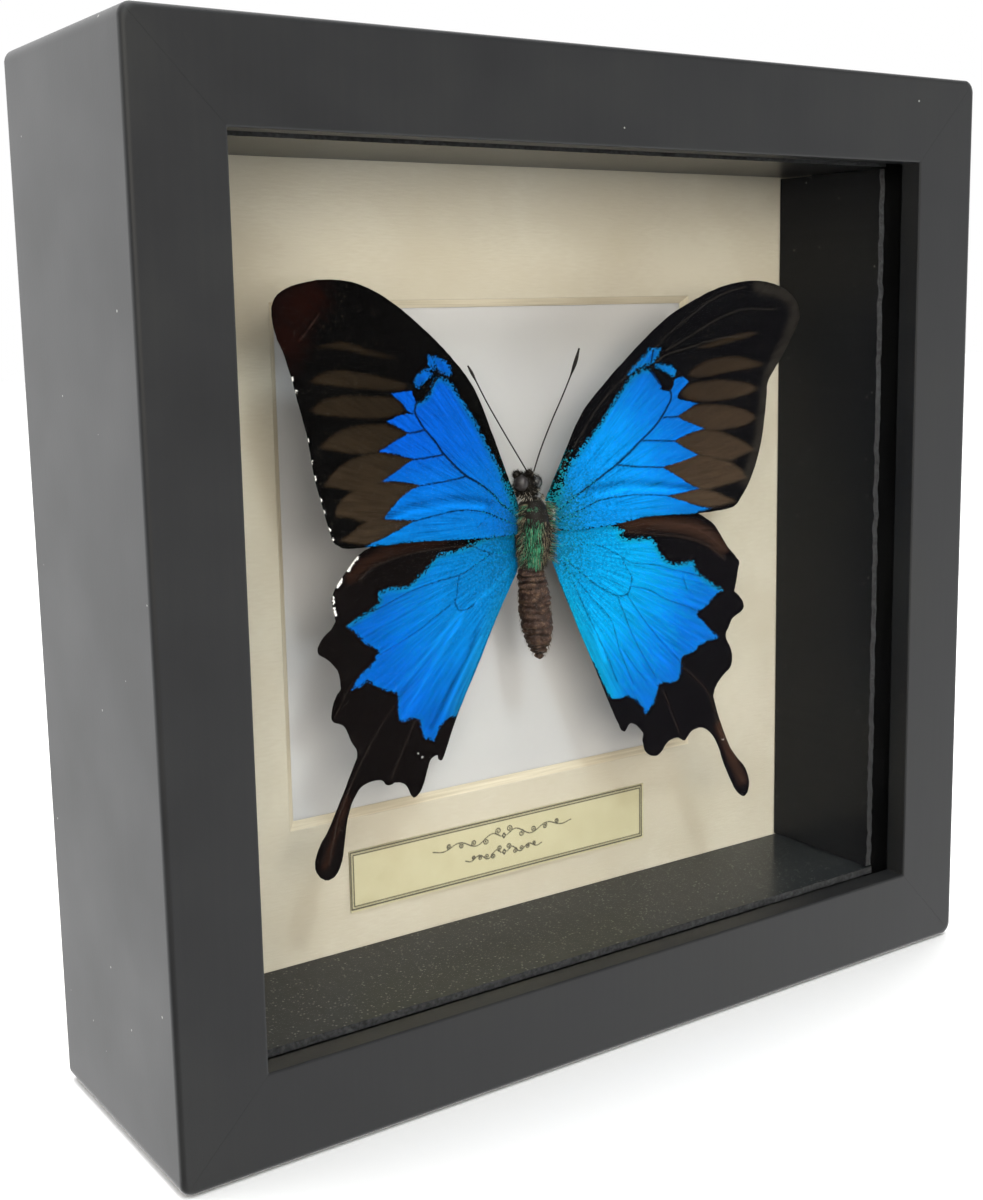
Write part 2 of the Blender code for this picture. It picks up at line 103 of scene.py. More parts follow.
VEIN_RISE = 0.1
VEIN_HALF_WIDTH = 0.2
PLEAT = 0.5  # how far a wing buckles along its rays
RAGGED = 0.09  # how far a wing's edge strays from its outline
RIM_SEED = 1  # without a seed the unevenness would differ from run to run
STALK_RADIUS = 0.135
RING_RISE = 0.03
TAPER = 0.8  # share of its width that a hair loses towards its tip

# How many hairs grow where.
THORAX_HAIRS = 4200
WING_JOINT_HAIRS = 420
ABDOMEN_HAIRS = 520
HEAD_HAIRS = 1500
LASHES = 90
FEELER_HAIRS = 130
COLLAR_HAIRS = 190


def linear(value):
    """One channel of an sRGB colour as scene-linear."""
    return value / 12.92 if value <= 0.04045 else ((value + 0.055) / 1.055) ** 2.4


def colour(code):
    """A hex sRGB colour as linear red, green, blue and alpha."""
    return (*(linear(int(code[i:i + 2], 16) / 255) for i in (0, 2, 4)), 1.0)


def plug(node, inputs):
    """Each socket gets a plain value, or is fed by a socket or by the first output in use of a node."""
    for key, source in inputs.items():
        if isinstance(source, bpy.types.Node):
            source = next(socket for socket in source.outputs if socket.enabled)
        if isinstance(source, bpy.types.NodeSocket):
            node.id_data.links.new(source, node.inputs[key])
        else:
            node.inputs[key].default_value = source


def add(tree, kind, inputs=None, stops=None, **settings):
    """Adds a node of this kind with its settings and inputs. Stops are a ramp's places and colours."""
    node = tree.nodes.new("ShaderNode" + kind)
    for name, value in settings.items():
        setattr(node, name, value)
    plug(node, inputs or {})
    if stops:
        marks = node.color_ramp.elements
        while len(marks) < len(stops):
            marks.new(1.0)
        for mark, (place, code) in zip(marks, stops):
            mark.position = place
            mark.color = colour(code)
    return node


def new_material(name, **values):
    """A named material with its tree and its Principled shader, whose own sockets get plain values."""
    material = bpy.data.materials.new(name)
    material.use_nodes = True
    shader = material.node_tree.nodes["Principled BSDF"]
    for key, value in values.items():
        shader.inputs[key.replace("_", " ")].default_value = value
    return material, material.node_tree, shader


# Shapes

def smooth_run(points, steps):
    """Points on a Catmull-Rom curve through the given ones, without the last."""
    ends = [2 * Vector(points[0]) - Vector(points[1]), 2 * Vector(points[-1]) - Vector(points[-2])]
    run = [ends[0], *map(Vector, points), ends[1]]
    for before, start, end, after in zip(run, run[1:], run[2:], run[3:]):
        for step in range(steps):
            t = step / steps
            yield 0.5 * (2 * start + (end - before) * t + (2 * before - 5 * start + 4 * end - after) * t ** 2
                         + (3 * start - before - 3 * end + after) * t ** 3)


def open_line(points, steps=6):
    """A smooth open line through the points, as an array."""
    return np.array([*smooth_run(points, steps), Vector(points[-1])])


def closed_line(runs, steps=6):
    """Smooth runs joined at corners into a closed outline, as an array that ends on its first point."""
    rim = [point for run in runs for point in smooth_run(run, steps)]
    return np.array([*rim, rim[0]])


def distance_to(places, line):
    """Distance of each place from a line of straight pieces."""
    nearest = np.full(len(places), np.inf)
    for start, end in zip(line[:-1], line[1:]):
        along = end - start
        offset = places - start
        share = np.clip(offset @ along / max(along @ along, 1e-9), 0, 1)
        nearest = np.minimum(nearest, ((offset - share[:, None] * along) ** 2).sum(axis=1))
    return np.sqrt(nearest)


def least(*fields):
    """The least of several fields, place by place."""
    return np.minimum.reduce(fields)


def depth_inside(places, outline):
    """How far each place is inside a closed outline: negative outside it."""
    crossings = np.zeros(len(places), int)
    for (x0, z0), (x1, z1) in zip(outline[:-1], outline[1:]):
        spans = (z0 > places[:, 1]) != (z1 > places[:, 1])
        if spans.any():
            at = x0 + (places[:, 1] - z0) * (x1 - x0) / (z1 - z0 if z1 != z0 else 1e-9)
            crossings += spans & (places[:, 0] < at)
    return distance_to(places, outline) * np.where(crossings % 2 == 1, 1, -1)


def carry(bm, fields):
    """Gives every vertex its value of each field, as an attribute that a material reads."""
    for key, values in fields.items():
        layer = bm.verts.layers.float.new(key)
        for vert, value in zip(bm.verts, values):
            vert[layer] = value


def finish_mesh(name, bm, materials, replaced=(), smooth_angle=40, recalculate=True):
    """Turns a bmesh in millimetres into a riding piece in metres."""
    if recalculate:
        bmesh.ops.recalc_face_normals(bm, faces=bm.faces)
    bmesh.ops.scale(bm, vec=(MM, MM, MM), verts=bm.verts)
    mesh = bpy.data.meshes.new(name)
    bm.to_mesh(mesh)
    bm.free()
    finish_piece(name, mesh, materials, replaced, smooth_angle)


def finish_piece(name, mesh, materials, replaced, smooth_angle):
    """Links a mesh in metres as a piece of the one body, with its materials and the solids it stands for."""
    piece = bpy.data.objects.new(name, mesh)
    bpy.context.scene.collection.objects.link(piece)
    for material in materials:
        mesh.materials.append(material)
    mesh.shade_smooth()
    mesh.set_sharp_from_angle(angle=math.radians(smooth_angle))
    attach(piece, "root")
    if replaced:
        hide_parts(*replaced)


def block(low, high):
    """A plain box between two corners."""
    bm = bmesh.new()
    bmesh.ops.create_cube(bm, size=1.0)
    low, high = Vector(low), Vector(high)
    bmesh.ops.scale(bm, vec=high - low, verts=bm.verts)
    bmesh.ops.translate(bm, vec=(high + low) / 2, verts=bm.verts)
    return bm


def cut_at(bm, place, normal, clear_outer=False):
    """Cuts the whole mesh along a plane, and can drop what lies beyond it."""
    whole = bm.verts[:] + bm.edges[:] + bm.faces[:]
    bmesh.ops.bisect_plane(bm, geom=whole, dist=1e-5, plane_co=place, plane_no=normal,
                           clear_outer=clear_outer)


def cut_into_slices(bm, axis, pitch):
    """Cuts a mesh across an axis at a steady pitch, a little off its edges."""
    unit = Matrix.Identity(3)[axis]
    places = [vert.co[axis] for vert in bm.verts]
    low, high = min(places), max(places)
    for step in range(1, math.ceil((high - low) / pitch)):
        cut_at(bm, unit * (low + (step - SLICE_OFFSET) * pitch), unit)


def tubes(name, resolution):
    """An empty curve whose points have their radius in millimetres."""
    curve = bpy.data.curves.new(name, "CURVE")
    curve.dimensions = "3D"
    curve.bevel_depth = MM
    curve.bevel_resolution = resolution
    curve.use_fill_caps = True
    return curve


def lay_tube(curve, points, radii):
    """Adds a tube through points in millimetres."""
    spline = curve.splines.new("POLY")
    spline.points.add(len(points) - 1)
    for knot, point, radius in zip(spline.points, points, radii):
        knot.co = (*(MM * Vector(point)), 1)
        knot.radius = radius


def strands(name, lines, radius, material):
    """Fine hairs in one mesh, each a thin tube that tapers to its tip. Real hairs are finer: these are as
    coarse as they need to be to show."""
    curve = tubes(name, 0)
    for points in lines:
        last = len(points) - 1
        lay_tube(curve, points, [radius * (1 - TAPER * step / last) for step in range(last + 1)])
    meshed(name, curve, material)


def meshed(name, curve, material, replaced=()):
    """A bevelled curve turned into a mesh piece."""
    guide = bpy.data.objects.new(name + "_guide", curve)
    bpy.context.scene.collection.objects.link(guide)
    bpy.context.view_layer.update()
    mesh = bpy.data.meshes.new_from_object(guide.evaluated_get(bpy.context.evaluated_depsgraph_get()))
    bpy.data.objects.remove(guide)
    mesh.name = name
    mesh.materials.clear()
    finish_piece(name, mesh, [material], replaced, 60)


# Materials of the frame and what it holds

def satin_black_paint():
    """Black acrylic paint sprayed on moulded fibreboard: a fine grainy satin with faint soft streaks and a
    little pale dust caught on it."""
    material, tree, shader = new_material("satin_black_sprayed_paint", Roughness=0.5, Specular_IOR_Level=0.36)
    place = add(tree, "TexCoord").outputs["Object"]
    cloud = add(tree, "TexNoise", {"Vector": place, "Scale": 45.0, "Detail": 5.0})
    stretched = add(tree, "Mapping", {"Vector": place, "Scale": (900.0, 900.0, 25.0)})
    streak = add(tree, "TexNoise", {"Vector": stretched, "Scale": 1.0, "Detail": 2.0})
    mixed = add(tree, "Math", {0: streak, 1: 0.25, 2: cloud}, operation="MULTIPLY_ADD")
    tone = add(tree, "ValToRGB", {"Fac": mixed}, stops=((0.35, "17181A"), (0.62, "1C1D1F"), (0.9, "222323")))
    # A few dust specks up to 0.5 mm wide: coarser than most real dust, so that they show.
    cells = add(tree, "TexVoronoi", {"Vector": place, "Scale": 190.0})
    near = add(tree, "Math", {0: cells.outputs["Distance"], 1: 0.045}, operation="LESS_THAN")
    pick = add(tree, "SeparateColor", {"Color": cells.outputs["Color"]}).outputs["Red"]
    rare = add(tree, "Math", {0: pick, 1: 0.91}, operation="GREATER_THAN")
    speck = add(tree, "Math", {0: near, 1: rare}, operation="MULTIPLY")
    dusty = add(tree, "Mix", {"Factor": speck, "A": tone, "B": colour("8C8C88")}, data_type="RGBA")
    rough = add(tree, "MapRange", {"Value": cloud, "To Min": 0.42, "To Max": 0.58})
    # Orange-peel of the spray, 0.4 mm across.
    grain = add(tree, "TexNoise", {"Vector": place, "Scale": 2500.0, "Detail": 3.0})
    bump = add(tree, "Bump", {"Strength": 0.12, "Distance": 0.0001, "Height": grain})
    plug(shader, {"Base Color": dusty, "Roughness": rough, "Normal": bump})
    return material


def clear_glass():
    """Float glass with a thin coating that takes most of the glare away. It's clear to lamps, so that they
    light what is behind it."""
    material, tree, shader = new_material("coated_float_glass", Roughness=0.0, IOR=1.05,
                                          Transmission_Weight=1.0)
    # Faint wipe marks, some 20 mm wide and 130 mm long.
    place = add(tree, "TexCoord").outputs["Object"]
    wiped = add(tree, "Mapping", {"Vector": place, "Rotation": (0.0, 0.6, 0.0), "Scale": (8.0, 8.0, 60.0)})
    haze = add(tree, "TexNoise", {"Vector": wiped, "Scale": 1.0})
    tint = add(tree, "ValToRGB", {"Fac": haze}, stops=((0.3, "FAFCFB"), (0.7, "FDFEFE")))
    lamp_ray = add(tree, "LightPath").outputs["Is Shadow Ray"]
    clear = add(tree, "BsdfTransparent")
    pane = add(tree, "MixShader", {0: lamp_ray, 1: shader, 2: clear})
    plug(tree.nodes["Material Output"], {"Surface": pane})
    plug(shader, {"Base Color": tint})
    return material


def black_faced_card(name, gloss):
    """Black paper laminated on card: faintly fibrous, a little burnished, and paler and linty where it faces
    up.
    """
    material, tree, shader = new_material(name, Roughness=0.28, Specular_IOR_Level=gloss)
    place = add(tree, "TexCoord").outputs["Object"]
    felt = add(tree, "TexNoise", {"Vector": place, "Scale": 1500.0, "Detail": 4.0})
    tone = add(tree, "ValToRGB", {"Fac": felt}, stops=((0.3, "0D0F11"), (0.55, "141518"), (0.75, "1F2022")))
    up = add(tree, "SeparateXYZ", {0: add(tree, "NewGeometry").outputs["Normal"]}).outputs["Z"]
    # Faces that look up get a paler tone, by a share that follows the felt.
    paler_facing_up = add(tree, "MapRange", {"Value": up, "From Min": 0.3, "From Max": 1.0})
    paler_facing_up = add(tree, "Math", {0: paler_facing_up, 1: felt}, operation="MULTIPLY")
    tone = add(tree, "Mix", {"Factor": paler_facing_up, "A": tone, "B": colour("232628")}, data_type="RGBA")
    # Lint and dust up to 0.4 mm wide: coarser than most real dust, so that it shows.
    cells = add(tree, "TexVoronoi", {"Vector": place, "Scale": 1500.0})
    near = add(tree, "Math", {0: cells.outputs["Distance"], 1: 0.3}, operation="LESS_THAN")
    pick = add(tree, "SeparateColor", {"Color": cells.outputs["Color"]}).outputs["Green"]
    share = add(tree, "MapRange", {"Value": up, "From Min": 0.0, "From Max": 1.0, "To Min": 0.985,
                                   "To Max": 0.75})
    rare = add(tree, "Math", {0: pick, 1: share}, operation="GREATER_THAN")
    lint = add(tree, "Math", {0: near, 1: rare}, operation="MULTIPLY")
    dusty = add(tree, "Mix", {"Factor": lint, "A": tone, "B": colour("676963")}, data_type="RGBA")
    bump = add(tree, "Bump", {"Strength": 0.25, "Distance": 0.0001, "Height": felt})
    plug(shader, {"Base Color": dusty, "Normal": bump})
    return material


def raw_card_edge():
    """The cut edge of the card: grey pulp in ragged layers."""
    material, tree, shader = new_material("raw_grey_card_edge", Roughness=0.9)
    place = add(tree, "TexCoord").outputs["Object"]
    pulp = add(tree, "TexNoise", {"Vector": place, "Scale": 1200.0, "Detail": 4.0})
    tone = add(tree, "ValToRGB", {"Fac": pulp}, stops=((0.35, "161617"), (0.5, "26272A"), (0.7, "3A3B3D")))
    bump = add(tree, "Bump", {"Strength": 0.6, "Distance": 0.0003, "Height": pulp})
    plug(shader, {"Base Color": tone, "Normal": bump})
    return material


def laid_cream_board():
    """Mat board faced with cream laid paper: fine fibres that run level, 0.5 mm apart, with a soft tooth."""
    material, tree, shader = new_material("cream_laid_mat_board", Roughness=0.9, Specular_IOR_Level=0.3)
    place = add(tree, "TexCoord").outputs["Object"]
    level = add(tree, "Mapping", {"Vector": place, "Scale": (420.0, 1.0, 2600.0)})
    fibre = add(tree, "TexNoise", {"Vector": level, "Scale": 1.0, "Detail": 4.0})
    cloud = add(tree, "TexNoise", {"Vector": place, "Scale": 60.0, "Detail": 3.0})
    mixed = add(tree, "Math", {0: fibre, 1: 0.6, 2: cloud}, operation="MULTIPLY_ADD")
    tone = add(tree, "ValToRGB", {"Fac": mixed}, stops=((0.45, "C0B8A5"), (0.8, "C5BEAD"), (1.1, "CAC4B4")))
    bump = add(tree, "Bump", {"Strength": 0.3, "Distance": 0.00015, "Height": fibre})
    plug(shader, {"Base Color": tone, "Normal": bump})
    return material


def board_core():
    """The core of the mat board, bared by the knife on the bevel: paler than the face, with faint layers."""
    material, tree, shader = new_material("mat_board_core", Roughness=0.95)
    place = add(tree, "TexCoord").outputs["Object"]
    layered = add(tree, "Mapping", {"Vector": place, "Scale": (60.0, 3500.0, 60.0)})
    layer = add(tree, "TexNoise", {"Vector": layered, "Scale": 1.0, "Detail": 2.0})
    tone = add(tree, "ValToRGB", {"Fac": layer}, stops=((0.3, "C4B9A2"), (0.6, "D6CCB6"), (0.9, "E2D9C6")))
    plug(shader, {"Base Color": tone})
    return material


def white_card():
    """Smooth white card behind the window, with a faint cool mottle."""
    material, tree, shader = new_material("smooth_white_card", Roughness=0.7, Specular_IOR_Level=0.4)
    place = add(tree, "TexCoord").outputs["Object"]
    cloud = add(tree, "TexNoise", {"Vector": place, "Scale": 40.0, "Detail": 4.0})
    tone = add(tree, "ValToRGB", {"Fac": cloud}, stops=((0.3, "BEBEC0"), (0.7, "C5C5C6")))
    tooth = add(tree, "TexNoise", {"Vector": place, "Scale": 3000.0})
    bump = add(tree, "Bump", {"Strength": 0.1, "Distance": 0.00005, "Height": tooth})
    plug(shader, {"Base Color": tone, "Normal": bump})
    return material


def printed_label_paper():
    """Cream paper printed in soft brown-black ink. Its ink attribute is the distance from the printing."""
    material, tree, shader = new_material("printed_cream_paper", Roughness=0.85, Specular_IOR_Level=0.35)
    place = add(tree, "TexCoord").outputs["Object"]
    pulp = add(tree, "TexNoise", {"Vector": place, "Scale": 220.0, "Detail": 5.0})
    tone = add(tree, "ValToRGB", {"Fac": pulp}, stops=((0.3, "C0B998"), (0.7, "C8C2A2")))
    line = add(tree, "Attribute", attribute_name="ink").outputs["Fac"]
    # Toner sits unevenly on the paper's tooth, at about 0.15 mm.
    tooth = add(tree, "TexNoise", {"Vector": place, "Scale": 6000.0})
    edge = add(tree, "Math", {0: tooth, 1: 0.16, 2: line}, operation="MULTIPLY_ADD")
    printed = add(tree, "MapRange", {"Value": edge, "From Min": 0.0, "From Max": 0.16, "To Min": 0.9,
                                     "To Max": 0.0})
    inked = add(tree, "Mix", {"Factor": printed, "A": tone, "B": colour("2E2A26")}, data_type="RGBA")
    plug(shader, {"Base Color": inked})
    return material


def hardboard():
    """Wet-pressed fibreboard: brown wood fibre, darker where it's dense, with a dull smooth side."""
    material, tree, shader = new_material("pressed_hardboard", Roughness=0.7)
    place = add(tree, "TexCoord").outputs["Object"]
    fibre = add(tree, "TexNoise", {"Vector": place, "Scale": 700.0, "Detail": 6.0, "Distortion": 1.5})
    cloud = add(tree, "TexNoise", {"Vector": place, "Scale": 30.0, "Detail": 3.0})
    mixed = add(tree, "Math", {0: cloud, 1: 0.5, 2: fibre}, operation="MULTIPLY_ADD")
    tone = add(tree, "ValToRGB", {"Fac": mixed}, stops=((0.5, "5E4024"), (0.75, "7B5735"), (0.95, "96714A")))
    bump = add(tree, "Bump", {"Strength": 0.3, "Distance": 0.0002, "Height": fibre})
    plug(shader, {"Base Color": tone, "Normal": bump})
    return material


def zinc_plated_steel():
    """Thin rolled steel, zinc plated: grey metal with a faint spangle and fine rolling lines."""
    material, tree, shader = new_material("zinc_plated_steel", Metallic=1.0, Roughness=0.35)
    place = add(tree, "TexCoord").outputs["Object"]
    rolled = add(tree, "Mapping", {"Vector": place, "Scale": (80.0, 4000.0, 4000.0)})
    line = add(tree, "TexNoise", {"Vector": rolled, "Scale": 1.0, "Detail": 3.0})
    spangle = add(tree, "TexVoronoi", {"Vector": place, "Scale": 450.0}).outputs["Color"]
    pale = add(tree, "SeparateColor", {"Color": spangle}).outputs["Blue"]
    mixed = add(tree, "Math", {0: pale, 1: 0.3, 2: line}, operation="MULTIPLY_ADD")
    tone = add(tree, "ValToRGB", {"Fac": mixed}, stops=((0.3, "7A7B7C"), (0.9, "A6A6A4")))
    rough = add(tree, "MapRange", {"Value": mixed, "To Min": 0.28, "To Max": 0.48})
    plug(shader, {"Base Color": tone, "Roughness": rough})
    return material


def cork():
    """Agglomerated cork: brown granules about a millimetre wide with dark pits."""
    material, tree, shader = new_material("pressed_cork", Roughness=0.95)
    place = add(tree, "TexCoord").outputs["Object"]
    granule = add(tree, "TexVoronoi", {"Vector": place, "Scale": 900.0}).outputs["Color"]
    pick = add(tree, "SeparateColor", {"Color": granule}).outputs["Red"]
    tone = add(tree, "ValToRGB", {"Fac": pick}, stops=((0.0, "6E4B2A"), (0.5, "A07B4E"), (1.0, "B8935F")))
    plug(shader, {"Base Color": tone})
    return material


# Wing shapes and markings. A wing's outline is smooth runs that meet at corners. Blue is runs of (softness,
# points) round the lit field. Veins are (width, points).

LEFT_FOREWING = dict(
    outline=(
        ((4.4, 100.8), (7.2, 106.8), (10.4, 113.9), (14.7, 122.4), (20.1, 128.5), (26.2, 133.6),
         (33.6, 138.5), (40.1, 141.2), (46.7, 141.9), (52.7, 141.0), (56.3, 139.3), (57.3, 136.5),
         (56.5, 132.8), (55.3, 130.4)),
        ((55.3, 130.4), (53.9, 126.2), (52.6, 121.6), (51.1, 116.2), (50.1, 110.2), (48.8, 105.2),
         (47.2, 99.3), (46.3, 97.8)),
        ((46.3, 97.8), (44.5, 96.9), (41.0, 96.6), (35.0, 96.4), (28.0, 96.2), (20.0, 95.6), (12.0, 95.1),
         (6.0, 94.9), (3.5, 95.2)),
    ),
    blue=(
        (0.55, ((4.4, 97.6), (5.9, 100.8), (7.4, 104.2), (9.2, 107.9), (11.0, 110.7), (14.2, 115.9),
                (17.2, 120.0), (19.3, 122.8), (21.0, 124.2), (22.7, 124.7), (24.1, 124.0), (24.9, 122.4),
                (26.2, 121.2), (27.9, 120.6))),
        (0.12, ((27.9, 120.6), (28.6, 122.0), (29.0, 122.9))),
        (0.12, ((29.0, 122.9), (31.0, 122.7), (33.4, 122.5))),
        (0.12, ((33.4, 122.5), (32.1, 121.5), (31.0, 120.6), (30.1, 119.5), (29.2, 118.9))),
        (0.12, ((29.2, 118.9), (30.8, 118.8), (32.7, 118.5), (34.8, 117.8))),
        (0.12, ((34.8, 117.8), (33.2, 117.2), (31.9, 116.5), (29.9, 115.5))),
        (0.12, ((29.9, 115.5), (31.4, 115.0), (34.0, 113.9), (36.6, 112.8))),
        (0.12, ((36.6, 112.8), (33.2, 112.2), (31.0, 111.5), (28.8, 110.9))),
        (0.12, ((28.8, 110.9), (30.6, 110.2), (33.2, 108.9), (36.0, 107.6))),
        (0.12, ((36.0, 107.6), (32.7, 107.3), (29.7, 106.7), (27.3, 106.2))),
        (0.12, ((27.3, 106.2), (30.6, 105.2), (33.6, 103.3), (36.0, 101.1))),
        (0.12, ((36.0, 101.1), (33.2, 100.7), (29.1, 100.1))),
        (0.12, ((29.1, 100.1), (33.2, 98.7), (36.7, 97.6), (40.0, 96.9))),
        (0.3, ((40.0, 96.9), (35.3, 96.5), (30.6, 96.4), (24.0, 95.9), (17.5, 95.4), (12.0, 95.1),
               (6.0, 95.0), (4.0, 95.3), (4.4, 97.6))),
    ),
    islands=(
        ((19.9, 125.2), (20.3, 126.7), (21.8, 127.9), (23.6, 128.5), (23.8, 127.2), (23.0, 126.0),
         (21.8, 125.4)),
        ((23.9, 128.3), (25.2, 128.8), (25.3, 128.0), (24.6, 126.8), (23.9, 126.2)),
        ((24.4, 126.2), (26.0, 126.2), (27.8, 125.2), (28.3, 124.0), (27.3, 123.4), (25.8, 124.4),
         (24.5, 125.3)),
    ),
    dark_veins=(
        (0.42, ((4.6, 98.0), (6.4, 99.6), (8.8, 101.2), (11.0, 103.3), (14.0, 105.3), (17.1, 107.0),
                (19.7, 109.0), (22.3, 111.4), (24.0, 113.6), (26.3, 115.9), (27.4, 117.4), (28.3, 119.0),
                (27.9, 120.6), (26.4, 121.6), (24.6, 123.2), (23.6, 124.9), (22.9, 126.0))),
        (0.3, ((28.3, 119.0), (29.2, 118.9))),
        (0.3, ((26.3, 115.8), (29.9, 115.5))),
        (0.3, ((22.3, 111.2), (25.0, 111.0), (28.8, 110.9))),
        (0.26, ((17.1, 106.9), (21.9, 106.4), (27.3, 106.2))),
        (0.22, ((29.1, 100.1), (24.0, 100.6), (19.7, 100.9), (15.3, 100.5), (11.0, 99.3), (6.7, 97.4),
                (4.6, 96.8))),
        (0.1, ((15.3, 97.0), (12.0, 98.9), (9.0, 98.4))),
    ),
    # A painted glint across the apex.
    painted_vein_highlights=((0.1, ((51.9, 132.2), (50.6, 133.5), (48.0, 136.3))),),
    # Painted shade along the wing's folds, and painted highlights where the folds catch the light.
    painted_fold_shades=(((35.0, 101.7), (30.0, 102.9), (24.0, 103.3), (17.0, 103.0), (11.0, 101.6)),),
    painted_fold_highlights=(((33.5, 100.95), (28.0, 101.7), (20.0, 101.7), (13.0, 100.9)),),
    brown=(
        (((48.6, 130.9), (44.0, 131.7), (40.6, 131.0), (36.7, 129.8), (32.3, 128.6)),
         ((32.3, 128.6), (34.9, 128.7), (38.4, 129.3), (42.5, 130.2), (48.6, 130.9))),
        (((50.3, 125.3), (48.0, 126.5), (44.0, 127.0), (40.1, 126.4), (36.7, 125.8), (32.7, 124.9),
          (29.8, 123.9)),
         ((29.8, 123.9), (31.0, 123.1), (34.0, 123.1), (38.4, 123.5), (43.6, 124.2), (48.0, 124.8),
          (50.3, 125.3))),
        (((50.3, 120.6), (48.0, 122.0), (44.5, 122.6), (40.6, 122.5), (36.7, 122.2), (33.2, 121.9),
          (31.4, 120.7), (30.4, 119.3)),
         ((30.4, 119.3), (33.2, 118.7), (36.7, 118.5), (40.6, 118.8), (44.5, 119.3), (48.4, 119.9),
          (50.3, 120.6))),
        (((48.9, 114.3), (46.2, 116.1), (43.6, 117.0), (40.1, 117.5), (36.7, 117.5), (34.5, 117.2),
          (31.4, 116.1), (29.8, 115.6)),
         ((29.8, 115.6), (32.3, 114.8), (34.9, 113.6), (36.4, 112.9), (39.3, 112.6), (42.7, 113.0),
          (46.2, 113.7), (48.9, 114.3))),
        (((48.1, 107.9), (45.8, 110.2), (42.7, 111.7), (40.1, 112.3), (36.4, 112.6), (33.2, 111.9),
          (29.0, 110.8)),
         ((29.0, 110.8), (33.2, 108.9), (35.9, 107.6)),
         ((35.9, 107.6), (39.0, 106.2), (42.5, 106.6), (45.3, 107.3), (48.1, 107.9))),
        (((46.3, 102.6), (45.3, 104.6), (43.6, 105.8), (42.2, 106.5), (39.0, 107.2), (35.9, 107.5)),
         ((35.9, 107.5), (32.7, 107.2), (27.6, 106.2)),
         ((27.6, 106.2), (33.2, 103.7), (36.0, 101.1)),
         ((36.0, 101.1), (38.4, 100.9), (40.6, 101.2), (43.2, 102.1), (46.3, 102.6))),
        (((45.3, 98.3), (42.7, 99.6), (40.1, 100.9), (38.0, 101.2), (36.0, 101.0)),
         ((36.0, 101.0), (33.2, 100.6), (29.1, 100.1)),
         ((29.1, 100.1), (33.2, 98.8), (36.7, 97.7), (39.5, 97.2), (41.9, 97.4), (45.3, 98.3))),
    ),
    # A painted reddish sheen over the apex.
    sheen_and_brown=((5.0, ((50.0, 139.0), (53.5, 136.5), (54.5, 132.0))),),
    flecks=(
        (0.35, ((53.6, 126.0), (53.7, 125.7))), (0.3, ((53.0, 123.9), (53.1, 123.7))),
        (0.35, ((51.0, 115.8), (51.0, 115.5))), (0.3, ((50.3, 112.1), (50.3, 111.8))),
        (0.4, ((49.9, 109.6), (49.8, 109.2))), (0.35, ((49.0, 105.8), (48.9, 105.5))),
        (0.35, ((48.2, 103.7), (48.1, 103.4))), (0.3, ((47.5, 100.6), (47.4, 100.4))),
        (0.3, ((46.9, 98.8), (46.8, 98.6))),
    ),
)

